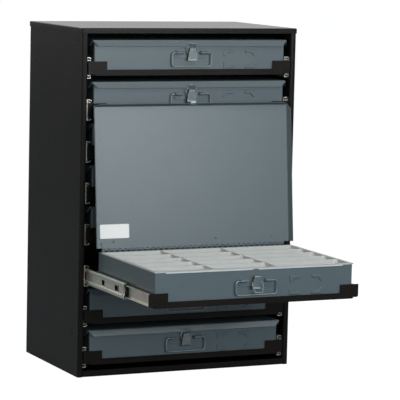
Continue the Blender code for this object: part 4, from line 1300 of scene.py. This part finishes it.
def widening(height):
    """How far each side of the lever has run out at a height: not at its top, most at its foot."""
    drop = (LEVER_TOP - height) / (LEVER_TOP - LEVER_LOW)
    return (LEVER_LOW_HALF - LEVER_TOP_HALF) * max(0.0, min(1.0, drop)) ** LEVER_EASE


lever_line = bent(
    [
        (LEVER_FACE_Y + LEVER_DEPTH * LEVER_ROLL, LEVER_TOP - LEVER_SHEET * LEVER_ROLL_END),
        (LEVER_FACE_Y + LEVER_DEPTH * LEVER_ROLL, LEVER_TOP - LEVER_SHEET / 2),
        (LEVER_FACE_Y, LEVER_TOP - LEVER_SHEET / 2),
        (LEVER_FACE_Y + LEVER_FOOT, LEVER_BEND),
        (LEVER_FACE_Y, LEVER_LOW),
    ],
    LEVER_ROUNDS,
)
lever_face = folded("lever", lever_line, 2 * LEVER_LOW_HALF, LEVER_SHEET, ACROSS, 0)
for vert in lever_face.data.vertices:
    vert.co.x *= (LEVER_TOP_HALF + widening(vert.co.z)) / LEVER_LOW_HALF
outline = [
    (LEVER_FACE_Y, LEVER_TOP - LEVER_SHEET),
    (LEVER_FACE_Y + LEVER_DEPTH, LEVER_TOP - LEVER_SHEET * CHEEK_TOP),
    (LEVER_FACE_Y + LEVER_DEPTH, LEVER_PIVOT - LEVER_SHEET * CHEEK_LOW),
    (LEVER_FACE_Y + LEVER_FOOT * CHEEK_FOOT, LEVER_LOW + LEVER_SHEET),
    (LEVER_FACE_Y, LEVER_LOW + LEVER_SHEET),
]
cheeks = []
for way in (-1, 1):
    side_turn = Matrix.Translation((way * (LEVER_TOP_HALF - LEVER_SHEET / 2), 0, 0)) @ ACROSS
    cheek = plate("cheek", outline, LEVER_SHEET, side_turn, 0)
    for vert in cheek.data.vertices:
        vert.co.x += way * widening(vert.co.z)
    cheeks.append(cheek)
lever = joined("lever", [lever_face] + cheeks)
soften(lever, LATCH_EDGE, 2)
latch_base = joined("latch_base", [
    block("base", (-BASE_HALF, BOX_FRONT - BASE_PROUD, BASE_LOW), (BASE_HALF, BOX_FRONT, BASE_TOP)),
    block(
        "boss",
        (-BOSS_HALF, LEVER_PIVOT_Y - PIN_RADIUS, LEVER_PIVOT - BOSS_RISE),
        (BOSS_HALF, BOX_FRONT, LEVER_PIVOT + BOSS_RISE),
    ),
    bar(
        "pin", PIN_RADIUS, PIN_SIDES,
        *[(way * LEVER_TOP_HALF, LEVER_PIVOT_Y, LEVER_PIVOT) for way in (-1, 1)],
    ),
])
soften(latch_base, LATCH_EDGE, 2)
half_loop = [
    (LOOP_END, 0), (LOOP_NECK_HALF, 0), (LOOP_HALF, LOOP_WIDEST), (LOOP_TOP_HALF, LOOP_LENGTH)]
loop_line = [(-x, z) for x, z in half_loop] + half_loop[::-1]
loop_rounds = (LOOP_RADIUS,) + (LOOP_ROUND,) * 4 + (LOOP_RADIUS,)
loop = wire("loop", loop_line, loop_rounds, LOOP_RADIUS)
catch_line = bent(
    [
        (LID_FRONT - LID_SHEET, CATCH_TOP - CATCH_SHEET / 2),
        (CATCH_LIP_Y - CATCH_SHEET / 2, CATCH_TOP - CATCH_SHEET / 2),
        (CATCH_LIP_Y - CATCH_SHEET / 2, CATCH_TOP + CATCH_LIP),
    ],
    (CATCH_SHEET * CATCH_ROUND,),
)
catch = folded("catch", catch_line, 2 * CATCH_HALF, CATCH_SHEET, ACROSS)
plating = ("bright_wire", bright_wire)
for bay in BAYS:
    free, drawer, move = bay in FREE_BAYS, f"drawer_{bay}", bay_move[bay]
    fitted(latch_base, f"latch_base_{bay}", move, drawer, *plating)
    body, node = (f"lever_{bay}", f"lever_{bay}") if free else (drawer, f"latch_{bay}")
    fitted(lever, f"latch_lever_{bay}", move, body, *plating, [node])
    hang = Matrix.Rotation(math.pi - LOOP_HANG, 4, "X") if bay == OPEN_BAY else Matrix()
    hung = move @ Matrix.Translation((0, LOOP_PIVOT_Y, LOOP_PIVOT)) @ hang
    body, nodes = (f"loop_{bay}", [f"loop_{bay}"]) if free else (drawer, ())
    fitted(loop, f"latch_loop_{bay}", hung, body, *plating, nodes)
    fitted(catch, f"latch_catch_{bay}", lid_place[bay], lid_body[bay], *plating)
discard(latch_base, lever, loop, catch)
